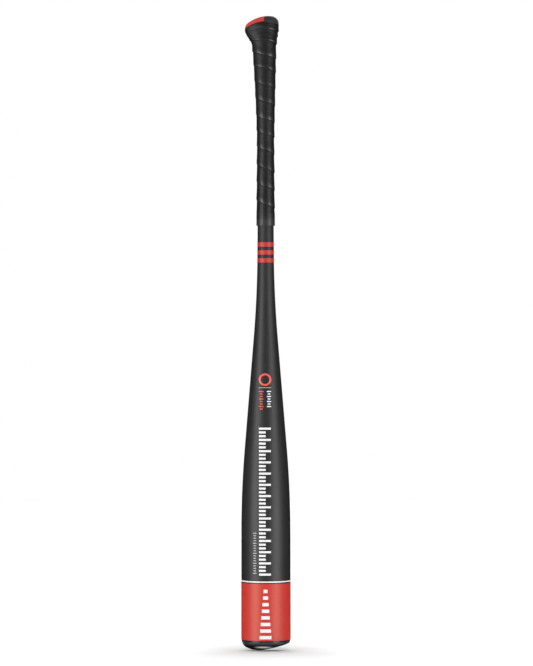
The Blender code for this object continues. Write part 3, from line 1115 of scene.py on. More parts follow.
@dataclass(frozen=True)
class EndCap:
    """The glossy cap: drafted side, round corner, bevel and flat, pared on a slant towards +X.

    Attributes:
        tube: The tube that the cap is set into.
        gap: The gap to the tube's mouth and bore, and around the bond ring.
        inset: How much smaller than the tube's mouth the rim is.
        rim_height: Height of the straight rim.
        rim_edge: Width of its softened upper edge.
        corner_radius: Radius of the corner of side and bevel before it is rounded.
        corner_reach: How far from the corner its rounding starts on both sides.
        flat_radius: Radius of the flat bottom.
        bevel: The bevel's angle to the floor.
        wall: Thickness of the cap.
        skirt_length: How far the skirt stands up into the tube.
        slant: The slanted face's angle to the floor.
        slant_start_x: Where the slanted face leaves the floor.
        softness: Height over which the slanted face's edge is rounded.
        ring_z: The bond ring's lower edge.
        ring_height: Its height.
        ring_thickness: Its thickness.
        pocket_step: Height of the pocket's row over its bevel.
        crease_angle: How sharp an edge stays sharp, in degrees.
    """

    tube: TubeLine
    gap: float = 0.3 * MM
    inset: float = 0.4 * MM
    rim_height: float = 0.9 * MM
    rim_edge: float = 0.15 * MM
    corner_radius: float = 30.4 * MM
    corner_reach: float = 5 * MM
    flat_radius: float = 20.5 * MM
    bevel: float = math.radians(24)
    wall: float = 3.0 * MM
    skirt_length: float = 22 * MM
    slant: float = math.radians(13.5)
    slant_start_x: float = -4.2 * MM
    softness: float = 1.6 * MM
    ring_z: float = 20 * MM
    ring_height: float = 4 * MM
    ring_thickness: float = 1.1 * MM
    pocket_step: float = 4 * MM
    crease_angle: float = 40

    def side(self) -> Run:
        """Return radius and height up the bevel, around the corner and up the side to the rim.

        Returns:
            The run.
        """
        rim = Vector((self.tube.mouth_radius - self.inset, self.tube.mouth_z - self.gap))
        under_rim = rim - Vector((0, self.rim_height))
        corner_z = (self.corner_radius - self.flat_radius) * math.tan(self.bevel)
        corner = Vector((self.corner_radius, corner_z))
        flat = Vector((self.flat_radius, 0))
        start = corner + (under_rim - corner).normalized() * self.corner_reach
        end = corner + (flat - corner).normalized() * self.corner_reach
        run = [end.lerp(flat, share) for share in (0.7, 0.35)]
        for share in spread(0, 1, 14)[::-1]:
            run.append(start.lerp(corner, share).lerp(corner.lerp(end, share), share))
        run += [under_rim.lerp(start, share) for share in (0.6, 0.3, 0.06)]
        run += [rim.lerp(under_rim, share) for share in (0.85, 0.5, 0.15)]
        return [tuple(point) for point in run]

    def skirt_radius(self) -> float:
        """Return the skirt's radius, which leaves a gap to the barrel's bore."""
        return self.tube.bore(self.tube.mouth_z) - self.gap

    def skirt(self) -> Run:
        """Return radius and height over the rim and up the skirt, with the bond ring's groove.

        Returns:
            The run.
        """
        rim_z = self.tube.mouth_z - self.gap
        rim_radius = self.tube.mouth_radius - self.inset - self.rim_edge
        radius = self.skirt_radius()
        groove = radius - self.ring_thickness - self.gap
        low, high = self.ring_z - self.gap, self.ring_z + self.ring_height + self.gap
        top = self.tube.mouth_z + self.skirt_length
        run = [(rim_radius, rim_z), (radius, rim_z), (radius, low), (groove, low), (groove, high)]
        return run + [(radius, high), (radius, top)]

    def pocket(self) -> Run:
        """Return radius and height down the pocket's wall and over its floor to the middle.

        Returns:
            The run.
        """
        radius = self.skirt_radius() - self.wall
        slope = math.tan(self.bevel)
        bevel_wall = self.wall / math.cos(self.bevel)
        bevel_high = (radius - self.flat_radius) * slope + bevel_wall
        floor_radius = self.flat_radius - (bevel_wall - self.wall) / slope
        run = [(radius, self.tube.mouth_z + self.skirt_length)]
        run += [(radius, bevel_high + self.pocket_step), (radius, bevel_high)]
        for inner in spread(radius, floor_radius, 4)[1:-1]:
            run.append((inner, self.wall + (inner - floor_radius) * slope))
        return run + [(inner, self.wall) for inner in spread(floor_radius, 0.0, 8)]

    def pared(self, radius: float, z: float, angle: float, lift: float) -> Vector:
        """Return a point of the turned cap after the slanted face is pared off, with a soft edge.

        Args:
            radius: The point's radius on the turned form.
            z: Its height there.
            angle: Its place around the axis.
            lift: How far inwards the pared face lies.

        Returns:
            The point.
        """
        x = radius * math.cos(angle)
        face = (x - self.slant_start_x) * math.tan(self.slant) + lift / math.cos(self.slant)
        soft = self.softness
        blend = max(soft - abs(z - face), 0.0) / soft
        return Vector((x, radius * math.sin(angle), max(z, face) + blend * blend * soft / 4))

    def build(self) -> list[bpy.types.Object]:
        """Raise the cap from the middle of its bottom, up its side and skirt and down its pocket.

        Returns:
            The cap alone, as a list.
        """
        flat = [(radius, 0.0) for radius in spread(0.0, self.flat_radius, 16)]
        rows = [(*point, 0.0) for point in (*flat, *self.side())]
        rows += [(*point, None) for point in self.skirt()]
        rows += [(*point, self.wall) for point in self.pocket()]

        def place(column: int, row: int) -> Vector:
            """Return a point of the cap, pared where its row has a lift."""
            angle = 2 * math.pi * column / ROUND
            radius, z, lift = rows[row]
            return polar(radius, angle, z) if lift is None else self.pared(radius, z, angle, lift)

        cap = Bench.skin("domed_end_cap", ROUND, len(rows), place)
        Bench.heal(cap)
        Bench.smooth(cap, self.crease_angle)
        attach(cap, "root")
        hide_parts("end_cap")
        cap.data.materials.append(GlossCap().material())
        return [cap]


class Zone(Enum):
    """The zones of the knob's skin, from its foot in the grip to the middle of its end."""

    CORE = "inside the grip"
    LIP = "from the widest line to the heel cap"
    EDGE = "around the edge"
    END = "over the end"
    FLAT = "on the flat in the middle"


@dataclass(frozen=True)
class Knob:
    """The angled knob and the red heel cap set into its end.

    Attributes:
        form: The knob's form.
        foot_z: The height of the knob's lower end in the grip.
        columns: Points around.
        lip: Height of the lip between the knob's widest line and the heel cap.
        seam: The gap around the heel cap.
        cap_x: Where the heel cap ends towards the toe.
        cap_thickness: Its thickness.
        cap_edge: Width of its bevelled edges.
        cap_edge_angle: How sharp an edge is bevelled, in degrees.
        groove: Depth of the lip's groove.
        groove_reach: How far in from the widest line the groove's skin lies at most.
        groove_ends: How far below and above the widest line it runs out, and over what height,
            as shares of the lip.
        grain: Height of the leather's lumps.
        grain_waves: Lumps for each metre.
        fine_grain: How much finer the lumps on the lumps are, and how high against them.
        grain_sink: The share of their height by which the lumps lie deeper.
        grain_fades: How far from the rim, the heel cap and the knob's end the lumps are full.
        crease_angle: How sharp an edge stays sharp, in degrees.
    """

    form: HandleForm
    foot_z: float
    columns: int = 112
    lip: float = 1.35 * MM
    seam: float = 0.3 * MM
    cap_x: float = -2 * MM
    cap_thickness: float = 2.2 * MM
    cap_edge: float = 0.25 * MM
    cap_edge_angle: float = 50
    groove: float = 0.35 * MM
    groove_reach: float = 0.8 * MM
    groove_ends: tuple[float, float, float] = (0.3, 1.5, 0.3)
    grain: float = 0.22 * MM
    grain_waves: float = 190
    fine_grain: Span = (2.2, 0.6)
    grain_sink: float = 0.6
    grain_fades: tuple[float, float, float] = (6 * MM, 5 * MM, 2 * MM)
    crease_angle: float = 40

    def lip_turn(self, angle: float) -> float:
        """Return how far around its edge the knob's lip ends."""
        return math.asin(self.lip / self.form.edge(angle)[1])

    def edge_rows(self) -> list[tuple[Zone, float]]:
        """Return the rows from the lip, around the edge and over the end to its middle.

        Returns:
            The zone of each row and its share of that zone.
        """
        rows = [(Zone.EDGE, share) for share in spread(0, 1, 12)]
        rows += [(Zone.END, share) for share in spread(0, 1, 10)[1:]]
        return rows + [(Zone.FLAT, share) for share in (0.5, 1.0)]

    def point(self, angle: float, row: tuple[Zone, float]) -> Vector:
        """Return a point of the knob from its row.

        Args:
            angle: Its place around the axis.
            row: Its zone and its share of it, or its height in the core.

        Returns:
            The point.
        """
        zone, share = row
        form = self.form
        if zone is Zone.CORE:
            return form.skin(angle, share, -form.tape - form.gap)
        if zone is Zone.LIP:
            return form.knob_edge(angle, self.lip_turn(angle) * share)
        if zone is Zone.EDGE:
            start = self.lip_turn(angle)
            return form.knob_edge(angle, start + (math.pi / 2 - start) * share)
        if zone is Zone.END:
            return form.knob_end(angle, share)
        rim = form.knob_end(angle, 1)
        middle = Vector((form.bend_x + form.flat[0] / 2, 0, rim.z))
        return rim.lerp(middle, share)

    def raised(self, name: str, rows: Sequence[tuple[Zone, float]]) -> bpy.types.Object:
        """Raise rows of the knob as one skin, whose edge and end carry the second material index.

        Args:
            name: The piece's name.
            rows: Its rows.

        Returns:
            The piece.
        """
        obj = Bench.skin(
            name,
            self.columns,
            len(rows),
            lambda column, row: self.point(2 * math.pi * column / self.columns, rows[row]),
        )
        first = next(i for i, row in enumerate(rows) if row[0] is Zone.EDGE)
        for i, face in enumerate(obj.data.polygons):
            face.material_index = 1 if i // self.columns >= first else 0
        return obj

    @staticmethod
    def cut(x: float, clear: bool) -> None:
        """Cut the mesh in edit mode across at x, and clear it on the toe's side if wanted."""
        bpy.ops.mesh.bisect(
            plane_co=(x, 0, 0), plane_no=(1, 0, 0), clear_outer=clear, threshold=CUT_TOUCH
        )

    def body(self) -> bpy.types.Object:
        """Make the knob, with its blind socket for the tube and a seat for the heel cap.

        Returns:
            The knob.
        """
        form = self.form
        tube = form.tube
        rows = [(Zone.CORE, z) for z in spread(self.foot_z, form.rim_z(0), 10)]
        rows += [(Zone.LIP, share) for share in (0.0, 0.5)] + self.edge_rows()
        knob = self.raised("angled_knob", rows)
        Bench.heal(knob)
        Bench.edit(knob)
        seat_x = self.cap_x + self.seam
        self.cut(seat_x, False)
        bpy.ops.mesh.select_mode(type="FACE")
        Bench.take(
            knob, lambda face: face.material_index == 1 and face.calc_center_median().x < seat_x
        )
        depth = {"value": -self.cap_thickness - self.seam}
        bpy.ops.mesh.extrude_region_shrink_fatten(TRANSFORM_OT_shrink_fatten=depth)
        bpy.ops.mesh.select_all(action="DESELECT")
        bpy.ops.mesh.select_mode(type="VERT")
        bpy.ops.mesh.select_non_manifold()
        for tube_z, ring_z in ((self.foot_z, self.foot_z), (tube.top_z, tube.top_z + form.gap)):
            Bench.extrude()
            self.to_round(knob, tube.radius(tube_z) + form.gap, ring_z)
        bpy.ops.mesh.edge_face_add()
        bpy.ops.mesh.select_all(action="SELECT")
        bpy.ops.mesh.normals_make_consistent(inside=False)
        Bench.clear()
        for face in knob.data.polygons:
            face.material_index = 0
        self.cut_groove(knob)
        self.roughen(knob)
        Bench.smooth(knob, self.crease_angle)
        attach(knob, "root")
        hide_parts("knob")
        knob.data.materials.append(KnobLeather().material())
        return knob

    @staticmethod
    def to_round(obj: bpy.types.Object, radius: float, z: float) -> None:
        """Lay the selected ring on a circle around the axis.

        Args:
            obj: The object in edit mode.
            radius: The circle's radius.
            z: Its height.
        """
        shape = bmesh.from_edit_mesh(obj.data)
        for vertex in shape.verts:
            if vertex.select:
                flat = Vector((vertex.co.x, vertex.co.y, 0)).normalized() * radius
                vertex.co = (flat.x, flat.y, z)
        bmesh.update_edit_mesh(obj.data)

    def cut_groove(self, obj: bpy.types.Object) -> None:
        """Sink the lip under the heel cap a little and store where it lies, for the painted shade
        that darkens its groove.

        Args:
            obj: The knob.
        """
        form = self.form
        heel, toe, side = form.at_rim
        start, end, fade = self.groove_ends
        depths = []
        for vertex in obj.data.vertices:
            x, y, z = vertex.co
            angle = math.atan2(y / side, x / (toe if x > 0 else heel))
            above = (z - form.rim_z(angle)) / self.lip
            inwards = math.hypot(*form.egg(angle, form.at_rim)) - math.hypot(x, y)
            depth = ease((above + start) / fade) * ease((end - above) / fade)
            depth *= ease((self.cap_x - x) / MM + 1)
            depths.append(depth if inwards < self.groove_reach else 0)
        Bench.attribute(obj, "groove", depths)
        for vertex, depth in zip(obj.data.vertices, depths):
            flat = Vector((vertex.co.x, vertex.co.y, 0)).normalized()
            vertex.co -= flat * depth * self.groove

    def roughen(self, obj: bpy.types.Object) -> None:
        """Push the visible skin in and out a little, as leather lies over a moulding.

        Args:
            obj: The knob.
        """
        rim_low = self.form.rim_z(math.pi)
        rim_fade, cap_fade, end_fade = self.grain_fades
        finer, fine = self.fine_grain
        for vertex in obj.data.vertices:
            x, y, z = vertex.co * self.grain_waves
            high = ease((vertex.co.z - rim_low) / rim_fade)
            high *= ease((vertex.co.x - self.cap_x) / cap_fade)
            high *= ease((self.form.length - vertex.co.z) / end_fade)
            push = ripple(x, y, z, seed=3.1)
            push += fine * ripple(finer * x, finer * y, finer * z, seed=7.7) - self.grain_sink
            vertex.co += vertex.normal * push * self.grain * high

    def heel_cap(self) -> bpy.types.Object:
        """Make the red cap from the heel side of the knob's end.

        Returns:
            The heel cap.
        """
        cap = self.raised("heel_cap", self.edge_rows())
        Bench.heal(cap)
        Bench.edit(cap)
        self.cut(self.cap_x, True)
        Bench.clear()
        for face in cap.data.polygons:
            face.material_index = 0
        Bench.apply(cap, "SOLIDIFY", thickness=self.cap_thickness, offset=-1.0, use_even_offset=True)
        limit = math.radians(self.cap_edge_angle)
        Bench.apply(
            cap, "BEVEL", width=self.cap_edge, segments=2, limit_method="ANGLE", angle_limit=limit
        )
        Bench.heal(cap)
        Bench.smooth(cap)
        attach(cap, "root")
        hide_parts("knob_heel_cap")
        cap.data.materials.append(HeelRed().material())
        return cap

    def build(self) -> list[bpy.types.Object]:
        """Make both pieces."""
        return [self.body(), self.heel_cap()]


class Base(Enum):
    """What a ring of the wound sleeve lies on."""

    LAPS = "the tape's face"
    OVAL = "the gripped form"
    TUBE = "the tube"


@dataclass(frozen=True)
class Ring:
    """One ring of the wound sleeve.

    Attributes:
        base: What it lies on.
        where: Laps along the tape, or the height.
        lift: Height of the lap profile in millimetres, or the distance off the form in metres.
        shine: How far the tape is stretched and shiny there; it also lightens the tape's colour as a
            painted highlight.
        foot: 1 in the crease under a lap's edge, where painted shade darkens the tape.
    """

    base: Base
    where: float
    lift: float
    shine: float = 0.0
    foot: float = 0.0


@dataclass(frozen=True)
class Grip:
    """The wound tape, lap over lap from the handle up to the knob, and the tape that closes it.

    Attributes:
        form: The gripped handle.
        finish_z: The lower edge of the closing tape.
        finish_top: Its upper edge, from which the laps show.
        lap_heights: The front height of the tape's lower edge after each lap.
        lap_profile: Shares of a lap, and how high its face stands there in millimetres.
        columns: Points around.
        tail: Thickness of the tape's tail under the closing tape.
        tail_length: How far the tail runs down.
        sleeve_z: The height under which the inner skin follows the tube, not the gripped form.
        ragged: How far the tape's edge wanders up and down.
        ragged_waves: How often it wanders in a turn.
        swing: How much the laps' thickness varies along the tape.
        swing_waves: How often it varies in a turn.
        full_z: The height from which the laps grow fuller.
        full_reach: How far above it they are full.
        fullness: How much fuller they are.
        calm_z: The height from which the laps over the heel are pulled flat.
        calm_reach: How far above it they are flat.
        calm_turn: How far around from the heel they are flat; more is further.
        calmed: How much of a flat lap's height is gone.
        pulled: How deep a flat lap is pulled in, in millimetres.
        fold_reach: How far above the flare's start the folds are full.
        folds: Height of the folds in millimetres.
        fold_sink: The share of it by which all the folds lie deeper.
        fold_waves: Folds for each metre up.
        lumps: Height of the tape's lumps in millimetres.
        lump_waves: Lumps for each metre up.
        around_waves: Folds and lumps around, as the radius of their circle through the noise.
        shine_rise: The share of a lap over which its shine comes up.
        shine_fall: The shares of a lap between which its shine fades.
        shine_mean: How strong the shine is on the whole.
        shine_swing: How much it varies along the tape.
        shine_waves: How often it varies in a turn.
        foot_clear: Height over the closing tape from which the laps shine.
        edge_drop: How far the sleeve's upper edge lies in.
        edge_rise: How far its lower edge stands off.
        touch: The gap between the closing tape and the laps over it.
        closing: Thickness of the closing tape.
        pressed: How far its pressed foot stands off the tube.
        foot_edge: How far its face lies in, at heights above its lower edge.
        head_edge: How far its face lies in, at depths under its upper edge.
        face_ends: Where its even face starts and ends, from the same two edges.
        face_clear: How far off its inner skin the face lies at least.
        stretch_lift: Height of its stretch marks.
        stretch_waves: Stretch marks for each metre, along each axis.
        crease_angle: How sharp an edge of a lap stays sharp, in degrees.
    """

    form: HandleForm
    finish_z: float
    finish_top: float
    lap_heights: tuple[float, ...] = (
        542 * MM,
        565.5 * MM,
        589.2 * MM,
        613.2 * MM,
        636.6 * MM,
        660.9 * MM,
        682.6 * MM,
        701.9 * MM,
        724.9 * MM,
        747.3 * MM,
        768.7 * MM,
        786.5 * MM,
        806.2 * MM,
        813.2 * MM,
        818.9 * MM,
        835 * MM,
        856 * MM,
    )
    lap_profile: tuple[tuple[float, float], ...] = (
        (-0.004, -0.04),
        (0.0, 0.1),
        (0.012, 0.24),
        (0.035, 0.36),
        (0.07, 0.45),
        (0.11, 0.49),
        (0.16, 0.47),
        (0.23, 0.39),
        (0.32, 0.27),
        (0.44, 0.15),
        (0.58, 0.05),
        (0.75, -0.03),
        (0.92, -0.08),
        (1.003, -0.14),
    )
    columns: int = 144
    tail: float = 0.45 * MM
    tail_length: float = 15 * MM
    sleeve_z: float = 716 * MM
    ragged: float = 0.9 * MM
    ragged_waves: float = 3.3
    swing: float = 0.3
    swing_waves: float = 4.1
    full_z: float = 783 * MM
    full_reach: float = 14 * MM
    fullness: float = 0.7
    calm_z: float = 806 * MM
    calm_reach: float = 9 * MM
    calm_turn: float = 1.4
    calmed: float = 0.85
    pulled: float = 0.3
    fold_reach: float = 12 * MM
    folds: float = 0.42
    fold_sink: float = 0.2
    fold_waves: float = 330
    lumps: float = 0.07
    lump_waves: float = 90
    around_waves: float = 1.6
    shine_rise: float = 0.04
    shine_fall: Span = (0.13, 0.3)
    shine_mean: float = 0.85
    shine_swing: float = 0.7
    shine_waves: float = 2.3
    foot_clear: float = 0.3 * MM
    edge_drop: float = 0.1 * MM
    edge_rise: float = 0.03 * MM
    touch: float = 0.05 * MM
    closing: float = 0.55 * MM
    pressed: float = 0.06 * MM
    foot_edge: tuple[Span, ...] = ((0.25 * MM, 0.0), (0.1 * MM, 0.06 * MM), (0.0, 0.3 * MM))
    head_edge: tuple[Span, ...] = ((0.01 * MM, 1.6 * MM), (0.04 * MM, 0.4 * MM), (0.1 * MM, 0.0))
    face_ends: Span = (1 * MM, 3.2 * MM)
    face_clear: float = 0.1 * MM
    stretch_lift: float = 0.09 * MM
    stretch_waves: tuple[float, float, float] = (95, 95, 160)
    crease_angle: float = 50

    @property
    def low(self) -> float:
        """Return the height at which the laps come out over the closing tape."""
        return self.finish_top + self.touch

    @property
    def top(self) -> float:
        """Return the height of the sleeve's upper edge, under the knob's rim."""
        return self.form.rim_z(0) - self.form.gap

    def lap_height(self, laps: float) -> float:
        """Return the front height of the tape's lower edge after a number of laps.

        Args:
            laps: The number of laps.

        Returns:
            The height.
        """
        last = len(self.lap_heights) - 2
        i = min(max(math.floor(laps), 0), last)
        low, high = self.lap_heights[i], self.lap_heights[i + 1]
        return low + (high - low) * (laps - i)

    def tape_z(self, turns: float) -> float:
        """Return the tape's height after a number of turns, with its edge's small wander."""
        wander = ripple(self.ragged_waves * turns, 0.9, 0.2, seed=4.4)
        return self.lap_height(turns) + self.ragged * wander

    def calm(self, angle: float, z: float) -> float:
        """Return how far the laps are pulled flat, which they are over the heel near the rim."""
        return ease((z - self.calm_z) / self.calm_reach) * ease(-math.cos(angle) * self.calm_turn)

    def lift(self, height: float, turns: float, angle: float, z: float) -> float:
        """Return how far the tape's face stands off the nominal skin.

        Args:
            height: The lap profile's height there, in millimetres.
            turns: How far along the tape the point is.
            angle: Its place around the axis.
            z: Its nominal height.

        Returns:
            The lift in metres.
        """
        around = (self.around_waves * math.cos(angle), self.around_waves * math.sin(angle))
        lumps = ripple(*around, self.lump_waves * z, seed=1.3)
        folds = ripple(*around, self.fold_waves * z, seed=9.2) - self.fold_sink
        flare = ease((z - self.form.flare_z) / self.fold_reach)
        thick = 1 + self.swing * ripple(self.swing_waves * turns, 0.3, 0.7, seed=5.5)
        thick += self.fullness * ease((z - self.full_z) / self.full_reach)
        calm = self.calm(angle, z)
        lapped = height * thick + flare * self.folds * folds
        return (lapped * (1 - self.calmed * calm) + self.lumps * lumps - self.pulled * calm) * MM

    def wound_rows(self) -> list[Ring]:
        """Return the sleeve's rows: the laps outside, then over the top, down inside and the tail.

        Returns:
            The rings, in order.
        """
        form = self.form
        foot = self.finish_top - self.tail_length
        sleeve = self.sleeve_z - form.gap
        start, end = self.shine_fall
        rows = []
        for lap in range(len(self.lap_heights) - 1):
            for share, height in self.lap_profile:
                shine = ease(share / self.shine_rise) * (1 - ease((share - start) / (end - start)))
                rows.append(Ring(Base.LAPS, lap + share, height, shine, float(not 0 <= share <= 1)))
        rows += [Ring(Base.OVAL, z, -form.tape) for z in spread(self.top, form.flare_z, 6)]
        rows.append(Ring(Base.OVAL, sleeve, -form.tape))
        rows += [Ring(Base.TUBE, z, form.gap) for z in (sleeve, self.low, foot)]
        rows += [Ring(Base.TUBE, z, form.gap + self.tail) for z in (foot, self.low)]
        return rows + [Ring(Base.OVAL, self.low, self.edge_rise)]

    def lapped(self, ring: Ring, across: float, angle: float) -> Vector:
        """Return a point of the laps, which are cut off at the closing tape and at the knob.

        Both rows of a lap's step are cut together, so that no sliver of a step stays.

        Args:
            ring: The point's ring.
            across: Its place around the axis, in turns from the front.
            angle: The same place as an angle.

        Returns:
            The point.
        """
        turns = ring.where - across
        z = self.tape_z(turns)
        cut = self.tape_z(round(ring.where) + self.lap_profile[0][0] - across) if ring.foot else z
        if cut <= self.low:
            return self.form.skin(angle, self.low, self.edge_rise)
        if cut >= self.top:
            return self.form.skin(angle, self.top, -self.edge_drop)
        lift = self.lift(ring.lift, turns, angle, z)
        return self.form.skin(angle, min(z, self.top), lift)

    def store_lap_shading(self, grip: bpy.types.Object, rows: Sequence[Ring]) -> None:
        """Store on the mesh how far the tape shines and where the creases under its laps are, for
        its coat, its painted highlight and its painted crease shade.

        Args:
            grip: The sleeve.
            rows: Its rings.
        """
        shines, feet = [], []
        for i, vertex in enumerate(grip.data.vertices):
            row, column = divmod(i, self.columns + 1)
            ring = rows[row]
            free = vertex.co.z > self.low + self.foot_clear
            turns = ring.where - column / self.columns
            swing = ripple(self.shine_waves * turns, 1.7, 0.6, seed=8.1)
            stretch = self.shine_mean + self.shine_swing * swing
            loose = 1 - self.calm(math.atan2(vertex.co.y, vertex.co.x), vertex.co.z)
            shines.append(ring.shine * stretch * loose * free)
            feet.append(ring.foot * free)
        Bench.attribute(grip, "shine", shines)
        Bench.attribute(grip, "foot", feet)

    def wound(self) -> bpy.types.Object:
        """Make the wound tape as one closed sleeve with a real step at every lap.

        Returns:
            The sleeve.
        """
        rows = self.wound_rows()

        def place(column: int, row: int) -> Vector:
            """Return a point of the sleeve; its middle column is at the bat's front."""
            across = column / self.columns - 0.5
            angle = 2 * math.pi * (across + FRONT)
            ring = rows[row]
            if ring.base is Base.OVAL:
                return self.form.skin(angle, ring.where, ring.lift)
            if ring.base is Base.TUBE:
                return polar(self.form.tube.radius(ring.where) + ring.lift, angle, ring.where)
            return self.lapped(ring, across, angle)

        grip = Bench.skin("wound_grip", self.columns, len(rows), place)
        self.store_lap_shading(grip, rows)
        Bench.heal(grip)
        Bench.smooth(grip, self.crease_angle)
        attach(grip, "root")
        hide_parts("grip_wrap")
        grip.data.materials.append(WoundTape().material())
        return grip

    def closing_tape(self) -> bpy.types.Object:
        """Make the smooth tape over the grip's tail, pressed onto the tube at its lower edge.

        Returns:
            The tape.
        """
        form = self.form
        radius = form.tube.radius
        low, high = self.finish_z, self.finish_top
        inner = form.gap + self.tail + form.gap
        outer = inner + self.closing
        foot = high - self.tail_length - form.gap
        first, last = self.face_ends
        rows = [(outer - inset, low + rise) for inset, rise in self.foot_edge]
        rows += [(outer, z) for z in spread(low + first, high - last, 16)]
        rows += [(outer - inset, high - drop) for inset, drop in self.head_edge]
        rows += [(inner, high), (inner, foot), (self.pressed, foot), (self.pressed, low)]
        turning = Turning("finishing_tape", radius(low) + self.pressed, low)
        turning.through([(radius(z) + lift, z) for lift, z in rows])
        tape = turning.done()
        for vertex in tape.data.vertices:
            x, y, z = vertex.co
            away = math.hypot(x, y)
            if away > radius(z) + inner + self.face_clear:
                spot = [waves * value for waves, value in zip(self.stretch_waves, vertex.co)]
                push = self.stretch_lift * ripple(*spot, seed=2.7)
                vertex.co += Vector((x, y, 0)) / away * push
        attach(tape, "root")
        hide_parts("grip_finishing_tape")
        tape.data.materials.append(SmoothTape().material())
        return tape

    def build(self) -> list[bpy.types.Object]:
        """Make the grip and its finishing tape."""
        return [self.wound(), self.closing_tape()]


class Ink(Enum):
    """The inks of the printed marks: a name, its colours where it is full and thin, and a slot."""

    WHITE = ("white_ink", grey(0.64), grey(0.56), "white_film")
    RED = ("red_ink", (0.72, 0.07, 0.055), (0.5, 0.05, 0.04), "red_film")
    GREY = ("grey_ink", grey(0.34), grey(0.24), "white_film")

    def material(self) -> bpy.types.Material:
        """Return the ink's material, made once."""
        name, color, thin, _ = self.value
        return bpy.data.materials.get(name) or PrintInk(name, color, thin).material()

    @property
    def slot(self) -> str:
        """Return the record's slot that the ink takes its finish from."""
        return self.value[3]


@dataclass(frozen=True)
class BarColumn:
    """A column of level bars, counted down from the highest, in millimetres.

    Attributes:
        count: How many bars there are.
        top: The middle height of the first bar.
        pitch: The way down to the next bar.
        height: The height of a bar.
        long: Middle X and width of a long bar.
        short: Middle X and width of a short bar.
        every: Each so many bars one is long, from the first.
        growth: How much wider each bar is than the one above it.
    """

    count: int
    top: float
    pitch: float
    height: float
    long: Span
    short: Span = (0.0, 0.0)
    every: int = 1
    growth: float = 0.0

    def bars(self) -> list[tuple[float, float, float, float]]:
        """Return middle X, middle Z, width and height of each bar, in metres.

        Returns:
            The bars.
        """
        made = []
        for i in range(self.count):
            x, width = self.short if i % self.every else self.long
            bar = (x, self.top - self.pitch * i, width + self.growth * i, self.height)
            made.append(tuple(value * MM for value in bar))
        return made


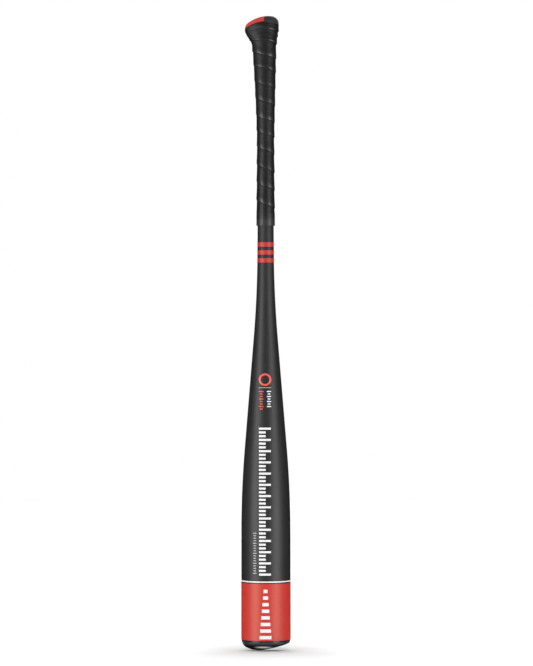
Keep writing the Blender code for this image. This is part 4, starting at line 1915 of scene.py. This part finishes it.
@dataclass(frozen=True)
class Marks:
    """Plain printed marks down the front: a ring, a rule, ticks, a long scale and level bars.

    Attributes:
        shell: The tube, which most marks are printed on.
        wrap: The red film, which the level bars are printed on.
        stand_off: How far in front of the axis a mark is drawn before it is laid on.
        ink_lift: The gap between the ink and what it is printed on.
        ink: Thickness of the ink.
        scale, ticks: The scale and the ticks on the barrel.
        cone_white, cone_red, rule: The ticks and the rule on the cone.
        levels: The bars on the red film.
        ring_x, ring_z: The ring's middle.
        ring_radius: Its outer radius.
        ring_line: The width of its line.
        ring_points: Points around it.
    """

    shell: bpy.types.Object
    wrap: bpy.types.Object
    stand_off: float = 60 * MM
    ink_lift: float = 0.05 * MM
    ink: float = 0.04 * MM
    scale: BarColumn = BarColumn(40, 292.6, 4.92, 2.7, (-1.2, 15.6), (-4.6, 8.8), every=3)
    ticks: BarColumn = BarColumn(17, 155.0, 3.3, 1.1, (-14.7, 4.6), (-14.7, 3.0), every=4)
    cone_white: BarColumn = BarColumn(7, 341.6, 3.3, 1.5, (4.3, 5.4), (4.3, 3.4), every=2)
    cone_red: BarColumn = BarColumn(8, 341.6, 3.3, 1.3, (-6.0, 5.8), (-6.0, 3.6), every=3)
    rule: BarColumn = BarColumn(1, 346.5, 0.0, 0.8, (-1.0, 16.6))
    levels: BarColumn = BarColumn(8, 78.6, 8.7, 4.4, (-0.5, 5.2), growth=1.47)
    ring_x: float = -1.0 * MM
    ring_z: float = 357.2 * MM
    ring_radius: float = 8.3 * MM
    ring_line: float = 2.5 * MM
    ring_points: int = 72

    def bars(
        self, name: str, ink: Ink, column: BarColumn, target: bpy.types.Object
    ) -> bpy.types.Object:
        """Print a column of bars: one is modelled, then copied, moved and stretched.

        Args:
            name: The piece's name.
            ink: Its ink.
            column: Its bars.
            target: What it is printed on.

        Returns:
            The printed piece.
        """
        Bench.clear()
        bpy.ops.mesh.primitive_grid_add(
            x_subdivisions=14, y_subdivisions=3, size=1, rotation=(math.pi / 2, 0, 0)
        )
        obj = Bench.added(name)
        Bench.edit(obj)
        (x, z, width, height), *others = column.bars()
        bpy.ops.transform.resize(value=(width, 1, height), center_override=(0, 0, 0))
        bpy.ops.transform.translate(value=(x, -self.stand_off, z))
        for next_x, next_z, next_width, next_height in others:
            move = (next_x - x, 0, next_z - z)
            bpy.ops.mesh.duplicate_move(TRANSFORM_OT_translate={"value": move})
            stretch = (next_width / width, 1, next_height / height)
            middle = (next_x, -self.stand_off, next_z)
            bpy.ops.transform.resize(value=stretch, center_override=middle)
            x, z, width, height = next_x, next_z, next_width, next_height
        Bench.clear()
        return self.printed(obj, ink, target)

    def ring(self, name: str, ink: Ink) -> bpy.types.Object:
        """Print a plain ring on the shell.

        Args:
            name: The piece's name.
            ink: Its ink.

        Returns:
            The printed piece.
        """
        Bench.clear()
        middle = (self.ring_x, -self.stand_off, self.ring_z)
        turned = (math.pi / 2, 0, 0)
        bpy.ops.mesh.primitive_circle_add(
            vertices=self.ring_points, radius=self.ring_radius, location=middle, rotation=turned
        )
        obj = Bench.added(name)
        Bench.edit(obj)
        line = self.ring_line / self.ring_radius
        size = 1.0
        for inner in (1 - line / 2, 1 - line):
            Bench.extrude()
            bpy.ops.transform.resize(value=(inner / size, 1, inner / size), center_override=middle)
            size = inner
        Bench.clear()
        return self.printed(obj, ink, self.shell)

    def printed(self, obj: bpy.types.Object, ink: Ink, target: bpy.types.Object) -> bpy.types.Object:
        """Lay a flat mark onto the barrel's face and give it its ink's thickness.

        Args:
            obj: The flat mark.
            ink: Its ink.
            target: What it is printed on.

        Returns:
            The printed piece.
        """
        if obj.data.polygons[0].normal.y > 0:
            Bench.edit(obj)
            bpy.ops.mesh.flip_normals()
        Bench.apply(
            obj,
            "SHRINKWRAP",
            target=target,
            wrap_method="PROJECT",
            wrap_mode="ABOVE_SURFACE",
            use_project_y=True,
            use_positive_direction=True,
            use_negative_direction=False,
            offset=self.ink_lift,
        )
        Bench.apply(obj, "SOLIDIFY", thickness=self.ink, offset=1.0)
        Bench.smooth(obj)
        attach(obj, "root")
        ink.slot
        obj.data.materials.append(ink.material())
        return obj

    def build(self) -> list[bpy.types.Object]:
        """Print all the marks.

        Returns:
            The printed pieces.
        """
        return [
            self.bars("barrel_scale", Ink.WHITE, self.scale, self.shell),
            self.bars("barrel_ticks", Ink.GREY, self.ticks, self.shell),
            self.bars("cone_ticks_white", Ink.WHITE, self.cone_white, self.shell),
            self.bars("cone_ticks_red", Ink.RED, self.cone_red, self.shell),
            self.bars("cone_rule", Ink.GREY, self.rule, self.shell),
            self.ring("cone_ring", Ink.RED),
            self.bars("wrap_level_bars", Ink.WHITE, self.levels, self.wrap),
        ]


@dataclass(frozen=True)
class Inside:
    """The pieces inside the bat, which keep their solids."""

    nodes: dict[str, bpy.types.Object]

    def build(self) -> None:
        """Give each hidden piece its finish."""
        rubber = Moulded("bung_rubber", grey(0.03), grey(0.022), 0.75).material()
        amber = Moulded("amber_bond", (0.35, 0.22, 0.08), (0.27, 0.16, 0.06), 0.5).material()
        nylon = Moulded("natural_nylon", (0.75, 0.73, 0.66), (0.66, 0.64, 0.57), 0.5).material()
        elastomer = Moulded("sleeve_elastomer", grey(0.08), grey(0.06), 0.7).material()
        finishes = {
            "end_cap_bond_ring": amber,
            "handle_weight": TurnedSteel().material(),
            "weight_bung_lower": rubber,
            "weight_bung_upper": rubber,
            "handle_plug": nylon,
            "handle_taper_sleeve": elastomer,
        }
        for name, finish in finishes.items():
            for slot in self.nodes[name].material_slots:
                slot.link = "OBJECT"
                slot.material = finish
            LOG.info("%s dressed in %s", name, finish.name)


# Studio


def hang(
    name: str, data: bpy.types.Light, lit: bpy.types.Collection, shine: bool
) -> bpy.types.Object:
    """Put a light into the scene.

    Args:
        name: The light's name.
        data: Its kind and power.
        lit: The list of what it lights or leaves out.
        shine: Whether it is mirrored in what it lights.

    Returns:
        The light, at the origin.
    """
    light = bpy.data.objects.new(name, data)
    bpy.context.scene.collection.objects.link(light)
    light.visible_glossy = shine
    light.light_linking.receiver_collection = lit
    return light


@dataclass(frozen=True)
class Softbox:
    """An area light that stands around the bat, turned to a height on its axis.

    Attributes:
        name: The light's name.
        azimuth: Its place around the bat in degrees, from the front towards +X.
        distance: Its distance from the bat's axis.
        z: Its middle height.
        aim_z: The height on the axis that it is turned to.
        size: Its width and height.
        power: Its power in watts.
        shine: Whether it is mirrored in what it lights.
    """

    name: str
    azimuth: float
    distance: float
    z: float
    aim_z: float
    size: Span
    power: float
    shine: bool = True

    def build(self, lit: bpy.types.Collection) -> None:
        """Hang the light.

        Args:
            lit: The list of what it lights or leaves out.
        """
        data = bpy.data.lights.new(self.name, "AREA")
        data.shape = "RECTANGLE"
        data.size, data.size_y = self.size
        data.energy = self.power
        light = hang(self.name, data, lit, self.shine)
        turn = math.radians(self.azimuth)
        light.location = (math.sin(turn) * self.distance, -math.cos(turn) * self.distance, self.z)
        light.rotation_mode = "QUATERNION"
        aim = Vector((0, 0, self.aim_z)) - light.location
        light.rotation_quaternion = aim.to_track_quat("-Z", "Y")


@dataclass(frozen=True)
class SoftSky:
    """A wide soft light overhead, tilted to the back, which nothing mirrors."""

    name: str
    strength: float
    spread: float
    tilt: float
    z: float = 3

    def build(self, lit: bpy.types.Collection) -> None:
        """Hang the light.

        Args:
            lit: The list of what it lights or leaves out.
        """
        data = bpy.data.lights.new(self.name, "SUN")
        data.energy = self.strength
        data.angle = math.radians(self.spread)
        sky = hang(self.name, data, lit, False)
        sky.location = (0, 0, self.z)
        sky.rotation_euler = (-math.radians(self.tilt), 0, 0)


def lay_disc(name: str, radius: float, z: float, material: bpy.types.Material) -> bpy.types.Object:
    """Lay a flat disc that isn't part of the bat.

    Args:
        name: The disc's name.
        radius: Its radius.
        z: Its height.
        material: Its finish.

    Returns:
        The disc.
    """
    Bench.clear()
    bpy.ops.mesh.primitive_circle_add(
        vertices=96, radius=radius, fill_type="NGON", location=(0, 0, z)
    )
    disc = bpy.context.object
    disc.name = name
    disc.data.materials.append(material)
    return disc


@dataclass(frozen=True)
class Floor:
    """The pale floor, with a painted soft shadow in front of the cap and a painted glow behind it.

    The fades give where each starts and where it is full: out from the axis, or along X or Y.
    """

    radius: float = 4.0
    roughness: float = 0.9
    color: Color = grey(0.945)
    # A cooler tint near the bat paints out the red film's bounce light.
    foot_color: Color = (0.905, 0.945, 0.945)
    foot_fade: Span = (0.05, 0.2)
    # A painted lift: the floor is lighter beyond the shadow, which cuts the shadow's tail short.
    far_color: Color = grey(0.985)
    far_share: float = 0.7
    far_fade: Span = (0.09, 0.14)
    # The painted shadow in front of the cap.
    shadow: float = 0.35
    shadow_front: Span = (-0.075, -0.045)
    shadow_back: Span = (-0.042, -0.025)
    shadow_side: Span = (0.0, 0.04)
    shadow_shift: float = 0.005
    # The painted glow behind the cap: there the floor is darker and glows.
    glow_color: Color = grey(0.25)
    glow: Color = grey(0.6)
    glow_front: Span = (-0.024, -0.008)
    glow_reach: Span = (0.04, 0.1)

    def build(self) -> None:
        """Lay the floor; no reflection shows it, and it casts no shadow."""
        graph = Graph(
            "pale_floor", Roughness=self.roughness, Specular_IOR_Level=0.0, Emission_Strength=1.0
        )
        away, depth = graph.away(), graph.along("Y")
        beside = (graph.along("X") + self.shadow_shift).math("ABSOLUTE")
        # Painted shadow: a patch in front of the cap that darkens the floor's colour.
        shadow = depth.step(*self.shadow_front) * (1 - depth.step(*self.shadow_back))
        shadow = shadow * (1 - beside.step(*self.shadow_side)) * self.shadow
        # Painted glow behind the cap.
        lifted = depth.step(*self.glow_front) * (1 - away.step(*self.glow_reach))
        # A cooler tint near the bat paints out the red film's bounce light, and a painted lift
        # lightens the floor beyond the shadow.
        near = graph.blend(away.step(*self.foot_fade), self.foot_color, self.color)
        far_lifted_floor = graph.blend(away.step(*self.far_fade) * self.far_share, near, self.far_color)
        shadowed_floor = graph.blend(shadow, far_lifted_floor, BLACK)
        graph.set(
            Base_Color=graph.blend(lifted, shadowed_floor, self.glow_color),
            Emission_Color=graph.blend(lifted, BLACK, self.glow),
        )
        floor = lay_disc("floor", self.radius, 0.0, graph.material)
        floor.visible_glossy = floor.visible_shadow = False


@dataclass(frozen=True)
class CapCard:
    """A glowing card under the cap, seen in the cap's gloss alone: a painted reflection of the floor
    with a painted crescent highlight.

    The fades give where each starts and where it is full: out from the axis, or along X or Y.
    """

    radius: float = 0.12
    z: float = -0.5 * MM
    power: float = 5.0
    glow: float = 0.16
    glow_fade: Span = (0.03, 0.05)
    back_glow: float = 0.25
    front_fade: Span = (-0.03, -0.01)
    # The crescent is a painted highlight on the cap's lower front edge.
    crescent: float = 0.85
    crescent_inner: Span = (0.0245, 0.0272)
    crescent_outer: Span = (0.03, 0.033)
    crescent_left: Span = (-0.02, -0.006)
    crescent_right: Span = (-0.003, 0.013)

    def build(self) -> None:
        """Lay the card: an even glow around the cap as a painted floor reflection, and a bright
        crescent under its front as a painted highlight.
        """
        graph = Graph(
            "card_glow", Base_Color=(*BLACK, 1), Emission_Strength=self.power, Specular_IOR_Level=0.0
        )
        away, beside = graph.away(), graph.along("X")
        front = 1 - graph.along("Y").step(*self.front_fade)
        across = beside.step(*self.crescent_left) * (1 - beside.step(*self.crescent_right))
        ring = away.step(*self.crescent_inner) * (1 - away.step(*self.crescent_outer))
        room = away.step(*self.glow_fade) * (self.back_glow + front * (1 - self.back_glow))
        share = room * self.glow + ring * across * front * self.crescent
        graph.set(Emission_Color=graph.blend(share, BLACK, WHITE))
        card = lay_disc("cap_card", self.radius, self.z, graph.material)
        card.visible_camera = card.visible_diffuse = card.visible_shadow = False


@dataclass(frozen=True)
class Studio:
    """A level camera far in front, a white floor, two tall softboxes and soft light from above."""

    distance: float = 4.5
    camera_z: float = 418.75 * MM
    camera_x: float = 1.03 * MM
    lens: float = 183.47
    sensor: float = 36
    roll: float = math.radians(0.045)
    backdrop: float = 1.0
    ambient: float = 0.15
    reflected: float = 0.02
    bat_lights: tuple[Softbox, ...] = (
        Softbox("left_softbox", -51, 2.0, z=0.1, aim_z=0.3, size=(1.1, 2.1), power=40),
        Softbox("right_softbox", 50, 2.0, z=-0.1, aim_z=0.2, size=(1.1, 2.1), power=38),
    )
    floor_lights: tuple[Softbox, ...] = (
        Softbox("left_floor_light", -100, 0.8, 0.12, 0.0, size=(0.4, 0.2), power=1.1, shine=False),
        Softbox("right_floor_light", 100, 0.8, 0.12, 0.0, size=(0.4, 0.2), power=1.1, shine=False),
    )
    bat_sky: SoftSky = SoftSky("overhead", 3.08, spread=100, tilt=12)
    floor_sky: SoftSky = SoftSky("overhead_for_the_floor", 3.75, spread=80, tilt=35)

    @staticmethod
    def listed(name: str, piece: str, state: str) -> bpy.types.Collection:
        """Make a list with one piece that a light lights alone, or leaves out.

        Args:
            name: The list's name.
            piece: The piece's name.
            state: INCLUDE to light it alone, or EXCLUDE.

        Returns:
            The list.
        """
        lit = bpy.data.collections.new(name)
        lit.objects.link(bpy.data.objects[piece])
        lit.collection_objects[0].light_linking.link_state = state
        return lit

    @staticmethod
    def shining(node: bpy.types.Node, strength: float) -> bpy.types.NodeSocket:
        """Let a background node shine white with a strength, and return its output.

        Args:
            node: The background node.
            strength: Its strength.

        Returns:
            Its output.
        """
        node.inputs["Color"].default_value = (*WHITE, 1)
        node.inputs["Strength"].default_value = strength
        return node.outputs[0]

    def camera(self) -> None:
        """Set the camera."""
        data = bpy.data.cameras.new("camera")
        data.lens = self.lens
        data.sensor_width = self.sensor
        camera = bpy.data.objects.new("camera", data)
        bpy.context.scene.collection.objects.link(camera)
        camera.location = (self.camera_x, -self.distance, self.camera_z)
        camera.rotation_euler = (math.pi / 2, self.roll, 0)
        bpy.context.scene.camera = camera

    def world(self) -> None:
        """Light the room: white to the camera, even to matt faces and dark in reflections."""
        world = bpy.data.worlds.new("studio")
        world.use_nodes = True
        bpy.context.scene.world = world
        nodes, link = world.node_tree.nodes, world.node_tree.links.new
        seen = self.shining(nodes["Background"], self.backdrop)
        shown = self.shining(nodes.new("ShaderNodeBackground"), self.ambient)
        mirrored = self.shining(nodes.new("ShaderNodeBackground"), self.reflected)
        path = nodes.new("ShaderNodeLightPath")
        for ray, light in (("Is Glossy Ray", mirrored), ("Is Camera Ray", seen)):
            mix = nodes.new("ShaderNodeMixShader")
            for socket, source in enumerate((path.outputs[ray], shown, light)):
                link(source, mix.inputs[socket])
            shown = mix.outputs[0]
        link(shown, nodes["World Output"].inputs["Surface"])

    def lights(self) -> None:
        """Hang the lights: most for all but the floor, and the floor's own."""
        no_floor = self.listed("all_but_the_floor", "floor", "EXCLUDE")
        floor_only = self.listed("floor_alone", "floor", "INCLUDE")
        for light in self.bat_lights:
            light.build(no_floor)
        for light in self.floor_lights:
            light.build(floor_only)
        self.bat_sky.build(no_floor)
        self.floor_sky.build(floor_only)

    def build(self) -> None:
        """Set up the whole studio."""
        bpy.context.scene.view_settings.view_transform = "Standard"
        self.camera()
        Floor().build()
        CapCard().build()
        self.world()
        self.lights()


def forms() -> tuple[TubeLine, HandleForm]:
    """Read the tube's and the handle's own sizes from the frame's solids.

    Returns:
        The tube's line and the handle's form.
    """
    shell_low, shell_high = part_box("bat_shell")
    knob_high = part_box("knob")[1]
    tube = TubeLine(mouth_z=shell_low.z, mouth_radius=shell_high.x, top_z=shell_high.z)
    return tube, HandleForm(tube=tube, length=knob_high.z)


def main() -> None:
    """Load the frame, build each sub-assembly in order and set up the studio."""
    logging.basicConfig(level=logging.INFO, format="%(name)s: %(message)s")
    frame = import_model()
    tube, form = forms()
    finish_low, finish_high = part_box("grip_finishing_tape")

    barrel = Barrel(tube).build()
    made = barrel + EndCap(tube).build()
    made += Knob(form, foot_z=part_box("knob")[0].z).build()
    made += Grip(form, finish_z=finish_low.z, finish_top=finish_high.z).build()
    made += Marks(shell=barrel[0], wrap=barrel[1]).build()
    Inside(frame["nodes"]).build()
    for piece in made:
        LOG.info("%s: %d faces", piece.name, len(piece.data.polygons))
    Studio().build()


if __name__ == "__main__":
    main()
